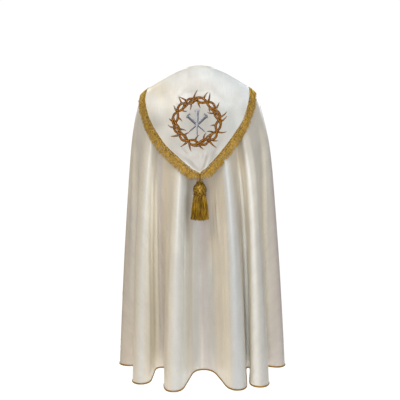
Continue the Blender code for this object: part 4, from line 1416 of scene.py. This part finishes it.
class COPE_OT_trims(bpy.types.Operator):
    """The gold piping on the hem and fronts, and the neckband"""

    bl_idname = "cope.trims"
    bl_label = "Piping and neckband"

    def execute(self, context):
        depth = settings("mantle").crease_depth
        gold = thread_material("piping_gold", *PIPING_GOLD, 0.42, 0.6)
        rows = np.array([LAST_ROW - 0.05, LAST_ROW])
        hem, normals = mantle_grid(np.linspace(0, KNOTS[-1], 1500), rows, depth)
        path = hem[1] - normals[1] * 0.001 - (0, 0, PIPING_RADIUS + SEAM_GAP)
        piping = tubes_object("hem_piping_cord", [(path, PIPING_COVER, 8)], gold)
        finish_piece(piping, "gold_piping", "hem_piping")
        sides = (("left", (0, 1), (0.0, 0.006)), ("right", (1, 0), (KNOTS[-1] - 0.006, KNOTS[-1])))
        for side, (edge, beside), lengths in sides:
            grid, normals = mantle_grid(np.array(lengths), mantle_rows(260), depth)
            away = unit(grid[:, edge] - grid[:, beside]) * (PIPING_RADIUS + SEAM_GAP)
            path = grid[:, edge] - normals[:, edge] * 0.001 + away
            name = "front_piping_" + side
            piping = tubes_object(name + "_cord", [(path, PIPING_COVER, 8)], gold)
            finish_piece(piping, "gold_piping", name)

        count = 241
        edge = mantle_grid(np.linspace(0, KNOTS[-1], count), np.array([0.0, 0.05]), 0.0)[0][0]
        away = unit(edge * (1, 1, 0))
        lines = [edge + away * (a - NECKBAND_TIP * c) + (0, 0, b) for a, b, c in NECKBAND]
        run, up = np.linspace(0, 0.5, count)[None, :], np.array(NECKBAND)[:, 1:2]
        cut = np.stack(np.broadcast_arrays(run, up), axis=-1).reshape(-1, 2)
        cloth = (mantle_material(), cut, settings("hood").cloth[:3])
        faces = bar_faces(len(NECKBAND), count)
        band = mesh_object("neckband_cloth", np.concatenate(lines), faces, *cloth)
        finish_piece(turn_outwards(band), "mantle_cloth", "neckband")
        return {"FINISHED"}


class COPE_OT_morse(bpy.types.Operator):
    """The plain tab across the chest, with a row of stitches round it"""

    bl_idname = "cope.morse"
    bl_label = "Morse"

    def execute(self, context):
        distance = np.linspace(MORSE_TOP, MORSE_BOTTOM, 45)[:, None]
        x = np.linspace(-MORSE_WIDTH / 2, MORSE_WIDTH / 2, 81)[None, :]
        turn = np.degrees(np.arctan2(x, section_size("front", row_at(-90.0, distance))))
        angle, row = -90 + turn, row_at(-90 + np.abs(turn), distance)
        normal = envelope_normal(angle, row)
        inner = envelope(angle, row) + normal * MORSE_LIFT
        u = np.abs(x) / (MORSE_WIDTH / 2)
        v = np.abs(distance - (MORSE_TOP + MORSE_BOTTOM) / 2) / MORSE_HALF
        edge = np.minimum((1 - u) * MORSE_WIDTH / 2, (1 - v) * MORSE_HALF)
        groove = bell((edge - MORSE_SEAM) / MORSE_SEAM_WIDTH) * MORSE_SEAM_DEPTH
        thick = MORSE_THICKNESS * (0.45 + 0.55 * np.sqrt(ease(edge / 0.003))) - groove
        outer = inner + normal * thick[..., None]
        cut = np.stack(np.broadcast_arrays(x, -distance), axis=-1)
        dye = settings("mantle").cloth[:3]
        piece = sheet_object("morse_cloth", outer, inner, cut, mantle_material(), dye)
        finish_piece(piece, "mantle_cloth", "morse")
        return {"FINISHED"}


def on_hood(tree, flat):
    """The points of the hood behind flat x and z, and the hood's normals there."""
    hits = [tree.ray_cast(Vector((x, 1.0, z)), Vector((0, -1, 0))) for x, z in flat]
    if any(hit[0] is None for hit in hits):
        raise RuntimeError("the embroidery runs off the hood")
    return np.array([hit[0][:] for hit in hits]), np.array([hit[1][:] for hit in hits])


def stitches(tree, line, widths, pitch, slant, lift, random):
    """Stitches that cross a line: where each starts, its aim, its rise and its length."""
    lengths = lengths_along(line)
    count = max(int(lengths[-1] / pitch), 3)
    wanted = (np.arange(count) + 0.5) / count * lengths[-1]
    middle = points_at(wanted, lengths, line)
    along = unit(np.gradient(middle, axis=0))
    aside = np.stack([-along[:, 1], along[:, 0]], axis=1)
    half = unit(aside + along * slant) * (np.interp(wanted, lengths, widths) / 2)[:, None]
    wobble = random.normal(0, 0.00008, (count, 1))
    first, rise = on_hood(tree, middle - half + along * wobble)
    last, _ = on_hood(tree, middle + half + along * wobble)
    up = np.interp(wanted, lengths, np.broadcast_to(lift, len(line)))[:, None]
    first, last = first + rise * up, last + rise * up
    run = last - first
    return first, unit(run), rise, np.linalg.norm(run, axis=1)


def padding(tree, line, lift, widths, flat):
    """A flat tube on the hood that pads the stitches over it."""
    place, rise = on_hood(tree, line)
    return place + rise * lift, widths, 6, rise, flat


def crown_lines():
    """The crown's plaited stems, each with how high it lies along its way and its width."""
    turn = np.linspace(0, 2 * math.pi, 721)
    for swing, waves, phase, width in STEMS:
        weave = swing * np.sin(waves * turn + phase) * (1 + 0.14 * np.sin(3 * turn + phase))
        weave = weave + STEM_WOBBLE * np.sin(2 * turn + 2 * phase)
        line = around(turn, CROWN_RADIUS + weave)[:, :2]
        yield line + EMBLEM_MIDDLE, 0.0008 + 0.0006 * np.cos(waves * turn + phase), width


def thorn_lines(count, random):
    """The thorns: tapered, bowed lines that leave the stems, most of them outwards."""
    lines = []
    share = np.linspace(0, 1, 12)
    for k in range(count):
        turn = 2 * math.pi * (k + random.uniform(-0.3, 0.3)) / count
        outwards = k % 5 not in (1, 3)
        radius = CROWN_RADIUS + (0.0070 if outwards else -0.0070)
        length = random.uniform(0.022, 0.038) if outwards else random.uniform(0.020, 0.030)
        lean = random.choice((-1, 1)) * random.uniform(0.25, 0.80)
        heading = turn + (0 if outwards else math.pi) + lean
        bow = np.sign(lean) * random.uniform(0.001, 0.004)
        start, out = (radius * around(turn))[:2], around(heading)[:2]
        side = np.array([-out[1], out[0]])
        line = start + share[:, None] * length * out
        line = line - (share * (1 - share) * 4 * bow)[:, None] * side
        widths = random.uniform(0.0058, 0.0074) * (1 - share) ** 0.8 + 0.0008
        lines.append((line + EMBLEM_MIDDLE, widths))
    return lines


class COPE_OT_embroidery(bpy.types.Operator):
    """The crown of thorns and the three nails, in satin stitch on the hood"""

    bl_idname = "cope.embroidery"
    bl_label = "Embroidery"

    def execute(self, context):
        own = settings("embroidery")
        random = np.random.default_rng(37)
        graph = context.evaluated_depsgraph_get()
        tree = BVHTree.FromObject(bpy.data.objects["hood_cloth"], graph)

        def sewn(line, widths, slant, lift):
            return stitches(tree, line, widths, own.pitch, slant, lift, random)

        def finish(name, rows, pads, thread, backing, **looks):
            finish_piece(tubes_object(name + "_underlay", pads, backing), "hood_cloth")
            piece = threads_object(name + "_stitches", *joined(rows), thread, **STITCH | looks)
            finish_piece(piece, "hood_cloth")

        rows, pads = [], []
        for line, height, width in crown_lines():
            rows.append(sewn(line, np.full(len(line), width), 0.7, height))
            lift = (height[::3] * 0.8)[:, None]
            pads.append(padding(tree, line[::3], lift, width * 0.70, STEM_FLAT))
        for line, widths in thorn_lines(own.thorns, random):
            rows.append(sewn(line, widths, 0.9, 0.0004))
            pads.append(padding(tree, line, 0.0002, widths * 0.66, THORN_FLAT))
        brown = thread_material("brown_thread", own.brown_dark, own.brown_light, 0.45, 0.8)
        dark = [part * 1.7 for part in own.brown_dark[:3]]
        dark = kept_material("brown_underlay", plain_material, dark, 0.9)
        finish("crown", rows, pads, brown, dark, taper=0.7)

        rows, pads, shades = [], [], []
        share = np.linspace(0, 1, 30)
        across = np.linspace(-1, 1, 24)
        for order, (head, tip) in enumerate(zip(NAIL_HEADS, NAIL_TIPS)):
            upper = order == 0
            head, tip = np.array(head) + EMBLEM_MIDDLE, np.array(tip) + EMBLEM_MIDDLE
            line = head + (tip - head) * share[:, None]
            widths = np.interp(share, NAIL_SHARES, NAIL_WIDTHS)
            height = 0.0004 + 0.0005 * upper
            out = unit(tip - head)
            side = np.array([-out[1], out[0]])
            side = side if side[1] < 0 else -side
            for offset, part, shade in NAIL_ROWS:
                row = line + side * (widths * offset)[:, None]
                rows.append(sewn(row, widths * part, 0.25, height))
                shades.append(shade + 0.35 * upper + random.uniform(0, 0.2, len(rows[-1][0])))
            shadow = line + side * (widths * (0.14 if upper else 0.28))[:, None]
            pads.append(padding(tree, shadow, height * 0.6, widths * 0.48, NAIL_FLAT))
            plate = head + side * (across * PLATE_HALF)[:, None]
            widths = PLATE_WIDTH * np.sqrt(np.maximum(1 - across**2, 0.02))
            rows.append(sewn(plate, widths, 0.0, height + 0.0004))
            shades.append(0.7 * upper + random.uniform(0, 0.3, len(rows[-1][0])))
            pads.append(padding(tree, plate - (0, 0.0012), height, widths * 0.56, NAIL_FLAT))
        dark, light = own.silver_dark[:3], own.silver_light[:3]
        shaded = [0.7 * a + 0.3 * b for a, b in zip(dark, light)]
        silver = thread_material("silver_thread", shaded, light, 0.38, 0.1)
        dark = kept_material("silver_underlay", plain_material, dark, 0.5)
        finish("nails", rows, pads, silver, dark, shades=np.concatenate(shades), taper=0.6)
        return {"FINISHED"}


class COPE_OT_stage(bpy.types.Operator):
    """The pale floor, the soft studio lights and the camera"""

    bl_idname = "cope.stage"
    bl_label = "Stage"

    def execute(self, context):
        own = settings("stage")
        material, shader, add, _ = new_material("pale_floor", Roughness=0.9)
        place = add("ShaderNodeTexCoord").outputs["Object"]
        tone = mixed(add, noise(add, place, 3.0, 3.0), (0.90, 0.90, 0.90), (0.94, 0.94, 0.94))
        reach = add("ShaderNodeVectorMath", {0: place}, operation="LENGTH").outputs["Value"]
        near, far = FLOOR_FADE
        fade = {"Value": reach, "From Min": near, "From Max": far, "To Min": 1.0, "To Max": 0.0}
        fade = add("ShaderNodeMapRange", fade, interpolation_type="SMOOTHSTEP")
        glow = {"Emission Color": (1, 1, 1, 1), "Emission Strength": FLOOR_GLOW}
        fill(shader, {"Base Color": tone, "Alpha": fade} | glow)
        floor_z = float(SECTIONS[-1, 1]) - own.floor_drop
        circle = around(2 * math.pi * np.arange(64) / 64) * FLOOR_RADIUS + (0, 0, floor_z)
        mesh_object("floor", circle, [tuple(range(64))], material)

        scene = context.scene
        scene.view_settings.view_transform = "Standard"
        scene.world = bpy.data.worlds.new("studio")
        scene.world.use_nodes = True
        add, _ = node_helpers(scene.world.node_tree)
        seen = add("ShaderNodeLightPath").outputs["Is Camera Ray"]
        strength = {"Value": seen, "To Min": WORLD_LIGHT, "To Max": WORLD_SEEN}
        strength = add("ShaderNodeMapRange", strength)
        back = scene.world.node_tree.nodes["Background"]
        fill(back, {"Color": (1.0, 0.99, 0.97, 1), "Strength": strength})
        for name, place, target, size, power, color in STUDIO_LIGHTS:
            light = bpy.data.lights.new(name, "AREA")
            light.shape = "RECTANGLE"
            light.size, light.size_y = size
            light.energy = getattr(own, power)
            light.color = color
            item = new_object(name, light)
            item.location = place
            aim = (Vector(target) - Vector(place)).to_track_quat("-Z", "Y")
            item.rotation_euler = aim.to_euler()
        camera = new_object("camera", bpy.data.cameras.new("camera"))
        camera.data.sensor_width = SENSOR
        camera.data.lens = FOCAL_PIXELS / IMAGE_PIXELS * SENSOR
        camera.data.clip_end = 60.0
        camera.location = CAMERA_PLACE
        camera.rotation_euler = (math.radians(90 - CAMERA_TILT), 0, math.radians(180))
        scene.camera = camera
        return {"FINISHED"}


class COPE_PT_panel(bpy.types.Panel):
    """The buttons that make the cope, and their sizes and colours"""

    bl_idname = "COPE_PT_panel"
    bl_label = "Cope"
    bl_space_type = "VIEW_3D"
    bl_region_type = "UI"
    bl_category = "Cope"

    def draw(self, context):
        for step in STEPS:
            box = self.layout.box()
            name = step.bl_idname.removeprefix("cope.")
            if name in GROUPS:
                own = settings(name)
                for key in own.__annotations__:
                    box.prop(own, key)
            box.operator(step.bl_idname)


GROUPS = {
    "mantle": MantleSettings,
    "hood": HoodSettings,
    "fringe": FringeSettings,
    "tassel": TasselSettings,
    "embroidery": EmbroiderySettings,
    "stage": StageSettings,
}
STEPS = (
    *(COPE_OT_mantle, COPE_OT_hood, COPE_OT_fringe, COPE_OT_tassel),
    *(COPE_OT_trims, COPE_OT_morse, COPE_OT_embroidery, COPE_OT_stage),
)
CLASSES = (*GROUPS.values(), *STEPS, COPE_PT_panel)


def register():
    for kind in CLASSES:
        bpy.utils.register_class(kind)
    for name, group in GROUPS.items():
        setattr(bpy.types.Scene, "cope_" + name, PointerProperty(type=group))


def unregister():
    for name in GROUPS:
        delattr(bpy.types.Scene, "cope_" + name)
    for kind in reversed(CLASSES):
        bpy.utils.unregister_class(kind)


# The square metres of cloth in each side width and front width.
SHEET_AREAS = {"left": (0.460, 0.195), "right": (0.475, 0.188)}


def declare_cloth():
    """Looks up how large each side width and front width was cut, and does nothing with it."""
    for side in ("left", "right"):
        area, front_area = SHEET_AREAS[side]


def main():
    register()
    for step in STEPS:
        getattr(bpy.ops.cope, step.bl_idname.removeprefix("cope."))()
    declare_cloth()


if __name__ == "__main__":
    main()
